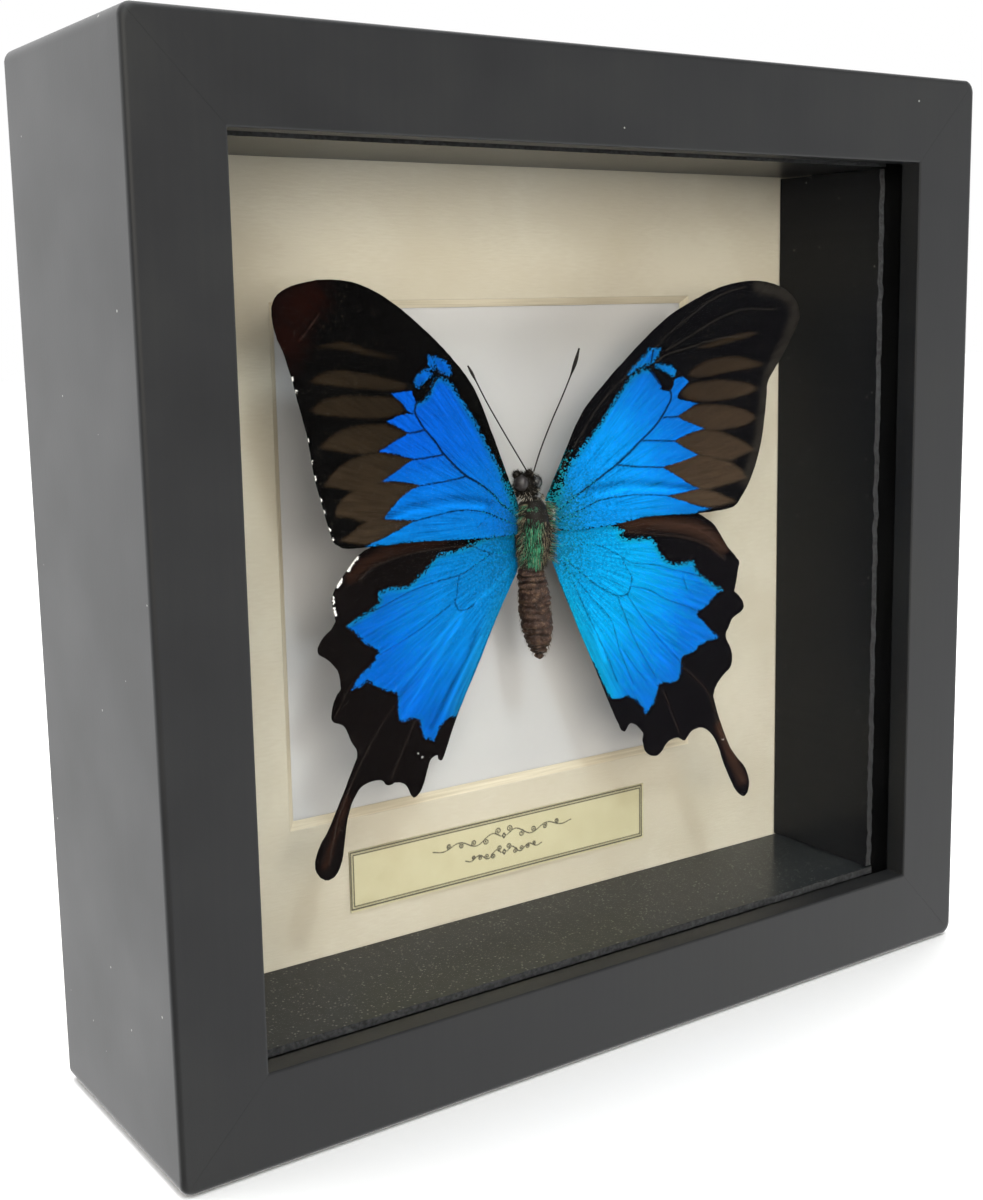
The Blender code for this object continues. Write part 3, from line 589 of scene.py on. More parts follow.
RIGHT_FOREWING = dict(
    outline=(
        ((2.2, 100.8), (3.7, 104.0), (5.6, 107.8), (10.1, 116.7), (15.0, 122.2), (20.0, 126.8), (25.0, 131.2),
         (30.0, 134.9), (35.0, 137.5), (40.0, 139.6), (45.0, 140.8), (50.0, 141.1), (55.0, 140.1),
         (58.5, 138.0), (60.2, 135.0), (59.6, 132.2), (55.9, 125.9)),
        ((55.9, 125.9), (52.7, 121.4), (52.3, 118.5), (51.7, 113.0), (50.5, 107.6), (48.2, 101.0),
         (45.6, 97.0)),
        ((45.6, 97.0), (44.3, 96.3), (41.0, 95.9), (36.0, 95.7), (30.0, 95.9), (24.0, 95.9), (17.4, 95.0),
         (12.0, 94.6), (7.0, 94.6), (3.6, 94.9)),
    ),
    blue=(
        (0.55, ((3.9, 97.2), (4.6, 99.6), (5.6, 102.2), (6.5, 105.9), (8.7, 108.5), (11.3, 111.5),
                (14.3, 114.6), (16.5, 117.6), (18.7, 120.2), (20.4, 122.3), (22.2, 123.8), (24.0, 124.6),
                (25.3, 124.2))),
        (0.12, ((25.3, 124.2), (26.1, 123.4), (27.3, 121.6), (27.1, 120.6))),
        (0.12, ((27.1, 120.6), (28.9, 120.2), (29.9, 120.8), (30.4, 122.4))),
        (0.12, ((30.4, 122.4), (32.2, 122.8), (33.8, 121.8))),
        (0.12, ((33.8, 121.8), (31.8, 120.1), (31.2, 118.8))),
        (0.12, ((31.2, 118.8), (32.2, 118.4), (34.8, 117.8), (36.1, 117.5))),
        (0.12, ((36.1, 117.5), (34.3, 116.7), (31.3, 115.1))),
        (0.12, ((31.3, 115.1), (33.9, 113.9), (37.5, 112.5))),
        (0.12, ((37.5, 112.5), (34.3, 111.8), (30.4, 110.4))),
        (0.12, ((30.4, 110.4), (33.0, 109.0), (36.1, 107.4))),
        (0.12, ((36.1, 107.4), (33.9, 106.7), (30.9, 106.0), (27.9, 105.4))),
        (0.12, ((27.9, 105.4), (31.3, 103.5), (33.9, 101.8), (36.2, 100.7))),
        (0.12, ((36.2, 100.7), (33.0, 100.2), (28.8, 99.75))),
        (0.12, ((28.8, 99.75), (33.0, 98.3), (36.1, 97.2), (39.2, 96.5))),
        (0.3, ((39.2, 96.5), (34.8, 95.9), (30.4, 95.8), (24.3, 95.9), (20.9, 95.5), (17.4, 95.0),
               (10.0, 94.6), (5.2, 95.0), (3.9, 95.6), (3.9, 97.2))),
    ),
    islands=(
        ((20.4, 123.7), (21.7, 125.2), (23.9, 127.2), (25.2, 128.4), (27.2, 128.5), (27.0, 127.1),
         (25.65, 125.7), (23.5, 125.2), (21.3, 124.0)),
        ((26.3, 125.2), (28.3, 125.4), (30.4, 124.3), (30.2, 123.1), (28.7, 123.7), (27.0, 124.6)),
    ),
    dark_veins=(
        (0.42, ((4.2, 98.2), (6.5, 99.8), (10.4, 102.2), (14.3, 104.6), (17.4, 106.5), (20.4, 108.7),
                (23.0, 110.9), (25.65, 113.0), (27.6, 115.2), (28.9, 117.2), (29.65, 118.9), (29.2, 120.6),
                (27.8, 122.2), (26.1, 123.9), (24.9, 124.9))),
        (0.8, ((27.4, 121.6), (25.4, 124.4))),
        (0.35, ((25.9, 128.2), (25.4, 125.6))),
        (0.3, ((27.6, 115.1), (31.3, 115.1))),
        (0.3, ((23.0, 110.9), (26.5, 110.7), (30.4, 110.4))),
        (0.3, ((17.8, 106.5), (22.0, 105.9), (27.9, 105.4))),
        (0.22, ((4.8, 97.0), (7.4, 97.7), (11.3, 99.0), (14.3, 100.0), (21.7, 100.4), (28.8, 99.8))),
        (0.15, ((4.8, 96.4), (8.0, 97.2), (10.5, 97.0))),
    ),
    # Pale lines along the veins: painted highlights where the raised veins catch the light.
    painted_vein_highlights=(
        (0.1, ((26.1, 125.7), (28.7, 127.2), (33.0, 128.3), (39.1, 129.8), (44.8, 130.4))),
        (0.1, ((28.7, 128.0), (33.9, 130.6), (39.1, 133.3), (43.5, 134.9), (47.8, 135.6), (54.3, 135.4))),
        (0.08, ((20.0, 124.0), (26.1, 128.5), (30.4, 132.0), (34.8, 134.9), (39.1, 137.6), (43.5, 139.2),
                (47.0, 139.9))),
        (0.1, ((5.2, 105.9), (8.7, 111.1), (13.0, 117.2), (17.4, 121.5), (20.4, 123.7))),
    ),
    # Painted shade along the wing's folds, and painted highlights where the folds catch the light.
    painted_fold_shades=(((11.0, 102.2), (18.3, 102.9), (24.3, 102.7), (30.0, 101.8), (35.0, 100.9)),),
    painted_fold_highlights=(((13.0, 100.8), (20.0, 101.5), (27.0, 101.0), (33.0, 100.3)),),
    brown=(
        (((35.5, 128.3), (39.0, 129.3), (43.0, 130.3), (47.0, 131.0), (50.2, 130.9)),
         ((50.2, 130.9), (47.0, 130.0), (43.0, 129.2), (39.0, 128.4), (35.5, 128.3))),
        (((33.5, 123.0), (34.8, 124.3), (38.3, 125.9), (41.7, 126.3), (46.1, 126.2), (49.1, 125.4),
          (51.7, 124.6)),
         ((51.7, 124.6), (47.8, 123.9), (43.5, 123.5), (39.1, 122.8), (35.65, 122.7), (33.5, 123.0))),
        (((32.0, 119.8), (34.3, 121.3), (37.4, 121.7), (41.7, 121.9), (46.1, 121.3), (48.7, 120.6),
          (50.2, 119.8)),
         ((50.2, 119.8), (47.8, 118.9), (43.5, 118.1), (39.1, 117.8), (36.1, 118.0), (33.5, 118.5),
          (32.0, 119.8))),
        (((31.1, 115.2), (33.9, 116.5), (37.0, 117.2), (40.9, 117.0), (45.2, 116.3), (48.3, 115.2),
          (49.8, 114.0)),
         ((49.8, 114.0), (47.4, 112.8), (43.5, 112.2), (39.1, 112.0), (37.4, 112.5), (34.3, 113.6),
          (31.1, 115.2))),
        (((30.4, 110.5), (34.3, 111.7), (37.4, 112.3), (40.4, 111.9), (43.5, 110.9), (47.0, 109.3),
          (49.3, 107.6)),
         ((49.3, 107.6), (46.1, 106.65), (43.0, 105.9), (36.1, 107.4)),
         ((36.1, 107.4), (33.0, 109.0), (30.4, 110.5))),
        (((28.0, 105.4), (30.9, 106.1), (36.0, 107.3), (40.0, 106.6), (43.0, 105.65), (45.2, 104.6),
          (47.0, 103.0), (47.6, 102.0)),
         ((47.6, 102.0), (44.3, 101.3), (40.4, 100.65), (38.3, 100.4), (36.1, 100.7)),
         ((36.1, 100.7), (31.3, 103.5), (28.0, 105.4))),
        (((28.9, 99.65), (33.0, 100.2), (36.1, 100.65), (38.7, 100.2), (41.7, 99.1), (44.3, 98.0),
          (45.4, 97.4)),
         ((45.4, 97.4), (42.6, 97.0), (39.1, 96.7), (36.1, 97.4), (32.6, 98.4), (28.9, 99.65))),
    ),
    # A painted grey sheen along the outer margin.
    sheen_and_brown=(
        (1.5, ((50.0, 140.0), (56.0, 138.6), (59.2, 135.5), (57.6, 130.5), (52.5, 121.5), (51.0, 111.5),
               (47.5, 101.5))),
    ),
    flecks=((0.5, ((3.8, 98.6), (3.9, 98.2))), (0.3, ((4.0, 97.0), (4.1, 96.7)))),
)

LEFT_HINDWING = dict(
    outline=(
        ((3.6, 94.5), (8.0, 95.8), (16.0, 96.9), (26.0, 97.2), (34.0, 96.8), (38.5, 96.1), (41.0, 94.9)),
        ((41.0, 94.9), (43.6, 92.4), (45.6, 90.3), (46.6, 88.5), (46.6, 86.9), (46.0, 84.4)),
        ((46.0, 84.4), (46.9, 83.1), (48.8, 81.7), (49.8, 80.2), (49.7, 79.0)),
        ((49.7, 79.0), (48.2, 78.1), (46.6, 76.6), (45.5, 74.9), (45.2, 72.2)),
        ((45.2, 72.2), (46.4, 70.9), (47.2, 68.9), (47.4, 67.1), (46.6, 66.4)),
        ((46.6, 66.4), (45.1, 65.7), (44.2, 64.2), (43.4, 62.3), (42.4, 60.8), (42.3, 59.4)),
        ((42.3, 59.4), (45.7, 53.2), (49.0, 47.6), (50.6, 45.6), (51.6, 43.7), (52.0, 41.8), (51.4, 40.2),
         (50.3, 39.1), (49.1, 38.8), (47.8, 39.3), (46.8, 40.6), (46.0, 42.8), (44.9, 48.2), (44.1, 50.5),
         (43.0, 52.4), (41.6, 53.8), (39.8, 54.3), (38.0, 54.3), (36.7, 53.9)),
        ((36.7, 53.9), (36.3, 53.3), (35.7, 52.9), (34.9, 52.9), (34.2, 53.1)),
        ((34.2, 53.1), (32.7, 52.7), (31.6, 51.8), (30.6, 49.8)),
        ((30.6, 49.8), (29.9, 49.4), (28.8, 49.9), (27.7, 51.5), (26.3, 55.3), (25.4, 56.1)),
        ((25.4, 56.1), (24.4, 56.2), (24.1, 55.3), (23.4, 55.0), (22.9, 55.6)),
        ((22.9, 55.6), (19.6, 62.7), (13.7, 72.6), (10.3, 78.7), (6.2, 84.8), (4.4, 87.4), (3.6, 89.6)),
    ),
    blue=(
        (0.5, ((3.9, 90.5), (4.2, 94.0), (8.0, 95.2), (12.0, 94.9), (15.0, 94.0), (19.2, 93.4), (22.7, 93.0),
               (24.4, 91.9), (26.2, 90.6), (27.9, 89.7), (29.2, 88.7), (31.0, 88.1), (33.1, 88.4),
               (34.9, 88.4), (36.7, 87.8), (36.6, 86.5), (37.9, 85.4), (39.65, 84.6), (41.8, 83.9),
               (43.4, 83.0))),
        (0.3, ((43.4, 83.0), (41.4, 81.3), (39.65, 79.4), (37.7, 78.4), (37.0, 77.5), (37.7, 76.4),
               (39.0, 75.1), (41.0, 73.9), (43.0, 71.8))),
        (0.3, ((43.0, 71.8), (41.0, 72.2), (39.65, 72.7), (37.5, 71.4), (35.3, 70.2), (33.8, 69.7),
               (32.9, 68.4), (33.1, 66.7), (32.7, 64.8), (32.0, 63.9), (30.5, 64.1), (28.4, 63.7),
               (27.9, 61.6), (27.3, 60.1), (26.2, 59.7), (25.2, 59.2))),
        (0.3, ((25.2, 59.2), (24.4, 60.6), (23.6, 61.8), (21.8, 62.8), (20.1, 62.9), (18.8, 63.9))),
        (0.2, ((18.8, 63.9), (17.3, 66.3), (15.6, 69.3), (13.0, 73.2), (10.4, 77.6), (7.8, 81.9), (5.6, 85.0),
               (4.2, 87.6), (3.9, 90.5))),
    ),
    islands=(),
    dark_veins=(
        (0.25, ((3.5, 92.2), (7.0, 91.7), (10.1, 91.9), (13.0, 92.8), (14.5, 93.6))),
        (0.25, ((11.0, 91.7), (14.5, 90.3), (18.3, 88.9), (23.6, 88.4), (30.1, 87.3), (35.3, 85.7),
                (39.65, 84.7))),
        (0.25, ((18.3, 88.9), (18.9, 87.0), (19.0, 85.4), (19.65, 84.1), (18.8, 82.4))),
        (0.2, ((19.65, 84.1), (23.6, 82.3), (27.9, 80.2), (32.3, 78.5), (37.0, 76.9))),
        (0.3, ((14.9, 83.0), (17.0, 82.3), (18.8, 82.4))),
        (0.2, ((8.3, 81.5), (10.5, 78.4), (13.6, 73.7), (16.2, 69.1))),
    ),
    # Pale lines along the veins: painted highlights where the raised veins catch the light.
    painted_vein_highlights=(
        (0.18, ((34.4, 66.9), (37.5, 63.6), (40.5, 59.7), (44.0, 54.5), (46.6, 49.7), (48.3, 44.5),
                (49.2, 41.5))),
        (0.1, ((29.2, 63.6), (31.8, 59.3), (34.9, 54.1))),
        (0.08, ((42.9, 73.2), (45.3, 69.7), (46.8, 67.6))),
        (0.1, ((41.0, 90.8), (37.5, 92.7), (32.3, 93.7), (27.0, 94.2), (20.1, 94.2), (14.0, 93.7))),
    ),
    # Painted shade along the wing's folds, and painted highlights where the folds catch the light.
    painted_fold_shades=(((14.5, 77.5), (17.0, 73.5), (20.5, 69.0), (24.0, 64.5), (26.0, 62.0)),),
    painted_fold_highlights=(
        ((4.4, 89.7), (7.9, 87.1), (11.4, 85.0), (14.9, 83.1)),
        ((18.8, 82.1), (21.8, 79.3), (25.7, 75.8), (30.1, 72.4), (34.5, 69.9)),
        ((17.3, 82.1), (19.5, 79.0), (22.5, 75.5), (26.5, 71.0), (30.0, 67.0), (32.0, 64.5)),
        ((13.6, 76.5), (17.5, 71.5), (21.0, 66.5), (24.2, 61.4)),
    ),
    brown=(),
    # Brownish bands along the front edge and the tail: partly the wing's own brown, partly painted sheen.
    sheen_and_brown=(
        (1.3, ((22.0, 95.8), (28.0, 95.6), (34.0, 95.0), (39.0, 93.6), (42.5, 91.5))),
        (1.0, ((49.8, 41.5), (47.2, 47.5), (44.8, 52.2))),
    ),
    flecks=(
        (0.5, ((40.9, 94.8), (41.9, 93.9), (42.9, 92.8))), (0.45, ((44.3, 91.4), (45.3, 90.3))),
        (0.3, ((46.4, 88.5), (46.4, 87.5))), (0.35, ((46.3, 86.7), (46.0, 85.4))),
        (0.3, ((46.4, 84.4), (47.1, 83.2))), (0.25, ((28.0, 56.5), (28.1, 56.5))),
        (0.2, ((28.9, 57.4), (29.0, 57.4))),
    ),
)

RIGHT_HINDWING = dict(
    outline=(
        ((3.6, 94.3), (8.0, 94.9), (16.0, 96.0), (26.0, 97.2), (33.0, 97.0), (36.5, 96.0), (38.6, 94.9)),
        ((38.6, 94.9), (40.9, 93.2), (42.5, 91.0), (44.3, 88.2), (46.1, 86.2), (47.2, 84.8), (46.9, 83.4),
         (46.4, 80.2), (46.1, 78.9)),
        ((46.1, 78.9), (47.3, 77.8), (48.3, 76.6), (48.6, 75.3), (47.9, 74.3)),
        ((47.9, 74.3), (45.9, 73.2), (45.0, 71.6), (44.3, 70.3), (44.3, 69.1)),
        ((44.3, 69.1), (45.2, 67.5), (45.7, 65.7), (45.6, 63.9), (45.0, 62.8)),
        ((45.0, 62.8), (43.7, 61.9), (42.5, 60.7), (41.5, 59.3), (41.0, 57.5)),
        ((41.0, 57.5), (42.3, 53.2), (44.3, 48.2), (45.6, 45.6), (47.3, 43.4), (49.0, 41.3), (50.0, 39.0),
         (50.2, 37.1), (49.8, 35.7), (48.9, 35.0), (47.5, 35.9), (46.1, 38.0), (43.6, 43.5), (42.5, 46.6),
         (41.1, 49.1), (39.5, 50.7), (37.7, 51.3), (35.9, 50.9), (34.9, 49.9)),
        ((34.9, 49.9), (34.1, 49.2), (33.3, 49.5), (32.5, 50.0)),
        ((32.5, 50.0), (31.3, 50.0), (30.1, 49.6), (29.1, 48.6)),
        ((29.1, 48.6), (28.4, 47.6), (27.2, 47.0), (25.7, 47.4), (24.6, 48.6), (24.1, 50.7), (24.2, 52.1),
         (23.4, 53.2)),
        ((23.4, 53.2), (22.3, 54.2), (21.1, 54.5), (20.4, 53.6), (19.8, 53.1), (19.1, 53.5)),
        ((19.1, 53.5), (16.8, 58.5), (13.6, 66.2), (9.2, 76.2), (5.6, 84.8), (4.5, 87.8), (3.6, 89.6)),
    ),
    blue=(
        (0.5, ((3.9, 90.0), (4.3, 94.0), (7.5, 95.2), (12.0, 95.4), (16.5, 94.9), (20.0, 93.4), (19.0, 92.4),
               (21.4, 91.6), (25.5, 91.4), (27.0, 90.3), (27.7, 88.9), (29.1, 87.3), (30.5, 86.0),
               (33.2, 85.6), (35.9, 85.8), (36.6, 84.4), (38.6, 82.3), (40.9, 80.7), (43.1, 79.4))),
        (0.3, ((43.1, 79.4), (40.9, 78.0), (39.1, 76.4), (37.3, 75.6), (37.0, 74.8), (38.6, 73.2),
               (40.5, 71.2), (42.4, 69.6))),
        (0.3, ((42.4, 69.6), (40.0, 69.3), (37.7, 68.7), (36.4, 67.6), (34.5, 67.1), (33.0, 66.0),
               (33.4, 64.1), (32.5, 62.1), (30.9, 61.6), (29.1, 61.9), (27.7, 61.6), (27.3, 60.3),
               (26.4, 58.0), (24.7, 56.2))),
        (0.3, ((24.7, 56.2), (23.6, 58.0), (22.3, 59.4), (20.5, 60.3), (18.6, 60.0), (17.0, 60.3),
               (16.3, 61.3))),
        (0.2, ((16.3, 61.3), (15.4, 63.0), (13.5, 67.1), (10.8, 71.6), (8.1, 78.5), (5.8, 84.4), (4.0, 88.0),
               (3.9, 90.0))),
    ),
    islands=(),
    dark_veins=(
        (0.32, ((5.9, 89.8), (9.1, 87.1), (12.7, 83.9), (15.9, 81.9), (18.2, 80.7), (20.5, 80.8),
                (21.4, 82.3))),
        (0.25, ((21.4, 82.3), (25.5, 81.2), (29.5, 78.9), (34.1, 77.1), (37.3, 75.6))),
        (0.18, ((21.4, 82.4), (21.6, 84.2), (20.2, 86.4), (19.3, 88.3))),
        (0.22, ((4.6, 91.7), (7.3, 91.6), (13.6, 91.2), (19.1, 88.5), (21.8, 86.9), (27.3, 86.0),
                (30.9, 84.8), (35.5, 83.5), (38.6, 82.4))),
        (0.22, ((20.6, 80.6), (22.7, 77.5), (25.5, 73.9), (29.1, 69.8), (31.8, 67.1), (33.6, 64.8))),
        (0.22, ((18.3, 80.6), (20.0, 76.6), (21.8, 72.5), (24.5, 67.5), (27.3, 63.0))),
        (0.25, ((4.6, 89.2), (6.8, 87.8), (10.5, 79.8), (13.2, 74.4), (15.9, 68.9), (18.2, 63.5))),
        (0.2, ((8.2, 86.3), (12.0, 81.5), (16.8, 76.2), (18.6, 69.8), (21.8, 62.5))),
        (0.15, ((19.5, 69.8), (22.0, 66.0), (25.0, 62.5))),
        (0.2, ((33.6, 83.0), (34.5, 80.3))),
    ),
    # Pale lines along the veins: painted highlights where the raised veins catch the light.
    painted_vein_highlights=(
        (0.12, ((33.6, 64.3), (36.5, 62.0), (40.0, 58.0), (41.8, 52.5), (44.2, 47.5), (47.0, 43.0))),
        (0.1, ((29.1, 60.0), (32.7, 51.2))),
        (0.14, ((21.4, 93.0), (27.3, 92.1), (33.6, 91.0), (39.1, 88.9), (43.6, 85.7))),
        (0.08, ((26.0, 94.0), (33.0, 93.6), (38.5, 91.5), (42.5, 88.3))),
    ),
    # Painted highlights where the wing's folds catch the light.
    painted_fold_shades=(),
    painted_fold_highlights=(((13.2, 74.4), (15.5, 68.0)),),
    brown=(),
    # Brownish bands along the front edge and the tail: partly the wing's own brown, partly painted sheen.
    sheen_and_brown=(
        (1.7, ((20.0, 94.6), (27.0, 94.4), (34.0, 93.2), (39.0, 91.3), (43.0, 88.3))),
        (1.2, ((48.5, 38.5), (45.5, 44.5), (42.5, 51.0))),
    ),
    flecks=((0.35, ((43.3, 48.0), (43.4, 48.0))),),
)


# The frame and what it holds

def rounded_wall(bm, stations, steps, bare=None):
    """A closed wall through rounded rectangles in turn, back to the first. A station is (middle, half width,
    low, high, corner radius, y). The stretch up to station number bare gets the second material."""
    half_step = math.pi / (4 * steps)
    turn = Matrix.Rotation(math.pi / 2, 4, "X") @ Matrix.Rotation(half_step, 4, "Z")
    sides, reach = 4 * steps, 1 / math.cos(half_step)
    rim = bmesh.ops.create_circle(bm, segments=sides, radius=reach, matrix=turn)["verts"]
    arcs = {vert: vert.co.copy() for vert in rim}
    edges = bm.edges[:]
    for number, (middle, half_width, low, high, radius, y) in enumerate(stations + stations[:1]):
        if number:
            made = bmesh.ops.extrude_edge_only(bm, edges=edges)["geom"]
            rim = [item for item in made if isinstance(item, bmesh.types.BMVert)]
            new = set(rim)
            edges = [edge for edge in bm.edges if new.issuperset(edge.verts)]
            for vert in rim:
                risers = [edge for edge in vert.link_edges if not new.issuperset(edge.verts)]
                arcs[vert] = arcs[risers[0].other_vert(vert)]
            for face in {face for vert in rim for face in vert.link_faces}:
                face.material_index = int(number == bare)
        for vert in rim:
            arc = arcs[vert]
            vert.co.x = middle + math.copysign(half_width - radius, arc.x) + radius * arc.x
            vert.co.z = (low + high) / 2 + math.copysign((high - low) / 2 - radius, arc.z) + radius * arc.z
            vert.co.y = y
    bmesh.ops.remove_doubles(bm, verts=bm.verts, dist=1e-4)
    bmesh.ops.recalc_face_normals(bm, faces=bm.faces)


def arc_steps(radius, steps):
    """Offsets along a quarter round: how far in from one side, and how far from the other."""
    for step in range(steps + 1):
        angle = math.pi / 2 * step / steps
        yield radius * (1 - math.cos(angle)), radius * (1 - math.sin(angle))


def frame_ring():
    """The whole frame before its mitres are cut: a wall, a lip before the glass and a rebate behind it."""
    bm = bmesh.new()
    outer, inner = CORNER_RADIUS, 0.3
    edge, lip = list(arc_steps(EDGE_RADIUS, 4)), list(arc_steps(LIP_RADIUS, 3))
    hold = 0.15  # a strip of flat beside each rounding, which keeps the shading of the flats flat
    chamfer = 0.3  # on the rebate's back edge
    steps = (
        (0, 0, FRONT + EDGE_RADIUS + hold, outer),
        *((0, inward, FRONT + depth, outer) for inward, depth in edge),
        (0, EDGE_RADIUS + hold, FRONT, outer),
        (1, -LIP_RADIUS - hold, FRONT, inner),
        *((1, -depth, FRONT + inward, inner) for inward, depth in lip),
        (1, 0, FRONT + LIP_RADIUS + hold, inner),
        (1, 0, FRONT + LIP_DEPTH, inner),
        (WALL_SHARE, 0, FRONT + LIP_DEPTH, inner),
        (WALL_SHARE, 0, BACK - chamfer, inner),
        (WALL_SHARE, -chamfer, BACK, inner),
        (0, EDGE_RADIUS + hold, BACK, outer),
        *((0, inward, BACK - depth, outer) for inward, depth in reversed(edge)),
        (0, 0, BACK - EDGE_RADIUS - hold, outer),
    )
    stations = []
    for share, extra, y, radius in steps:
        inset_x, inset_z = share * STILE_FACE + extra, share * RAIL_FACE + extra
        stations.append((0, HALF_WIDTH - inset_x, inset_z, HEIGHT - inset_z, radius, y))
    rounded_wall(bm, stations, 6)
    for axis, middle, half in ((0, 0, HALF_WIDTH), (2, HEIGHT / 2, HEIGHT / 2)):
        unit = Matrix.Identity(3)[axis]
        for side in (-1, 1):
            cut_at(bm, unit * (middle + side * (half - CORNER_RADIUS - hold)), unit)
    return bm


def frame_rails(paint):
    """Each rail is the ring cut off at its two mitres."""
    ring = frame_ring()
    ends = {"top": ((-1, 1), (1, 1)), "bottom": ((-1, -1), (1, -1)),
            "left": ((-1, -1), (-1, 1)), "right": ((1, -1), (1, 1))}
    for side, corners in ends.items():
        bm = ring.copy()
        places = [Vector((column * HALF_WIDTH, 0, HEIGHT if row > 0 else 0)) for column, row in corners]
        for (column, row), corner in zip(corners, places):
            across = Vector((row * RAIL_FACE, 0, -column * STILE_FACE)).normalized()
            if (sum(places, Vector()) / 2 - corner).dot(across) > 0:
                across = -across
            cut_at(bm, corner - across * MITRE_PLAY, across, clear_outer=True)
        bmesh.ops.holes_fill(bm, edges=[edge for edge in bm.edges if edge.is_boundary])
        finish_mesh("painted_rail_" + side, bm, [paint], ["rail_" + side], smooth_angle=30)
    ring.free()


def lining_strip(name, box, black_card, card_edge, seed, ragged):
    """A strip of card whose front edge is a raw, slightly ragged cut."""
    low, high = box
    bm = block(low, high)
    long_axis = 2 if high.z - low.z > high.x - low.x else 0
    cut_into_slices(bm, long_axis, 1.1)
    rough = random.Random(seed)
    for vert in [vert for vert in bm.verts if vert.co.y < low.y + 1e-3]:
        along = vert.co[long_axis]
        wave = noise.noise(Vector((along * 0.35, seed, 0)))
        wave += 0.6 * noise.noise(Vector((along * 1.7, seed, 3)))
        vert.co.y += ragged * (0.5 + wave + 0.25 * rough.random())
    thin_axis = 2 - long_axis
    inner = high[thin_axis] if name.endswith(("left", "bottom")) else low[thin_axis]
    for vert in bm.verts:
        if abs(vert.co[thin_axis] - inner) < 1e-3 and vert.co.y < low.y + 3:
            along = vert.co[long_axis]
            vert.co[thin_axis] += ragged * 0.5 * noise.noise(Vector((along * 0.6, seed, 9)))
    bmesh.ops.recalc_face_normals(bm, faces=bm.faces)
    for face in bm.faces:
        face.material_index = int(face.normal.y < -0.5)
    finish_mesh("card_" + name, bm, [black_card, card_edge], [name])


def mat_with_window(face_paper, core):
    """Mat board with a window cut at 45 degrees, which bares its core."""
    bm = bmesh.new()
    centre_x = sum(WINDOW_X) / 2
    half = (WINDOW_X[1] - WINDOW_X[0]) / 2
    thick = MAT_HIGH.y - MAT_LOW.y
    nick = 0.12  # the knife turns the paper's edge over very slightly
    board = (0, MAT_HIGH.x, MAT_LOW.z, MAT_HIGH.z, 0)
    rounded_wall(bm, [
        (*board, MAT_LOW.y),
        (centre_x, half + nick, WINDOW_Z[0] - nick, WINDOW_Z[1] + nick, 0, MAT_LOW.y),
        (centre_x, half, *WINDOW_Z, 0, MAT_LOW.y + nick * 0.7),
        (centre_x, half - thick, WINDOW_Z[0] + thick, WINDOW_Z[1] - thick, 0, MAT_HIGH.y),
        (*board, MAT_HIGH.y)], 1, bare=3)
    finish_mesh("window_mat", bm, [face_paper, core], ["mat_board"], smooth_angle=20)


def scroll(centre, length, height, turn, steps=60):
    """Half of a flourish: a wave that dies away outwards, with curls that leave it on alternate sides."""
    x0, z0 = centre
    wave = [(x0 + turn * length * t, z0 + 0.6 * height * math.sin(4 * math.pi * t) * (1 - t) ** 0.4)
            for t in (step / steps for step in range(steps + 1))]
    lines = [np.array(wave)]
    for number, start in enumerate((2, 13, 24, 35, 46)):
        foot, side = wave[start], (-1) ** number
        size = height * (0.5 - 0.04 * number)
        curl = []
        for t in (step / 20 for step in range(21)):
            angle, radius = 2.8 * math.pi * t, size * (1 - 0.8 * t)
            curl.append((foot[0] + turn * radius * math.sin(angle),
                         foot[1] + side * (size - radius * math.cos(angle))))
        lines.append(np.array(curl))
    return lines


FLOURISHES = ((32.3, 16.0, 1.6), (28.9, 8.5, 1.3))  # height on the label, half length, size of a curl


def label_lines():
    """Everything printed on the label, as (line, half its width): two rules round it and two flourishes."""
    lines = []
    for inset, half in ((0.0, 0.17), (0.55, 0.14)):
        left, right = LABEL_LOW.x + 0.2 + inset, LABEL_HIGH.x - 0.6 - 0.8 * inset
        low, high = LABEL_LOW.z + 0.55 + inset, LABEL_HIGH.z - 0.25 - inset
        lines.append((np.array([(left, low), (left, high), (right, high), (right, low), (left, low)]), half))
    middle = (left + right) / 2 - 0.3
    for turn in (-1, 1):
        for centre_z, length, tall in FLOURISHES:
            for line in scroll((middle + turn * 0.8, centre_z), length, tall, turn):
                lines.append((line, 0.13))
    diamond = [(0.0, 0.5), (0.4, 0.0), (0.0, -0.5), (-0.4, 0.0), (0.0, 0.5)]
    for centre_z, _, _ in FLOURISHES:
        lines.append((np.array([(middle + x, centre_z + z) for x, z in diamond]), 0.16))
    return lines


def bordered_label(paper):
    """A thin card whose face is cut fine enough to carry its printed lines."""
    bm = block(LABEL_LOW, LABEL_HIGH)
    fine = 0.2
    cut_into_slices(bm, 0, fine)
    cut_into_slices(bm, 2, fine)
    places = np.array([(vert.co.x, vert.co.z) for vert in bm.verts])
    carry(bm, {"ink": least(*(distance_to(places, line) - half for line, half in label_lines()))})
    finish_mesh("bordered_label", bm, [paper], ["label_card"], recalculate=False)


def plain_solids_get_finishes(materials):
    """The solids whose shape is already right keep it, and get their finish."""
    for node, material in materials.items():
        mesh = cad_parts[node].data
        mesh.materials.clear()
        mesh.materials.append(material)


# The wings

def line_field(places, veins):
    """Distance of each place from the edge of the nearest vein: negative on it."""
    if not veins:
        return np.full(len(places), NOWHERE)
    return least(*(distance_to(places, open_line(points, 4)) - width / 2 for width, points in veins))


def soft_field(places, lines):
    """1 on the lines, fading to 0 over each one's width."""
    fade = np.zeros(len(places))
    for width, points in lines:
        fade = np.maximum(fade, np.exp(-(distance_to(places, open_line(points, 4)) / width) ** 2))
    return fade


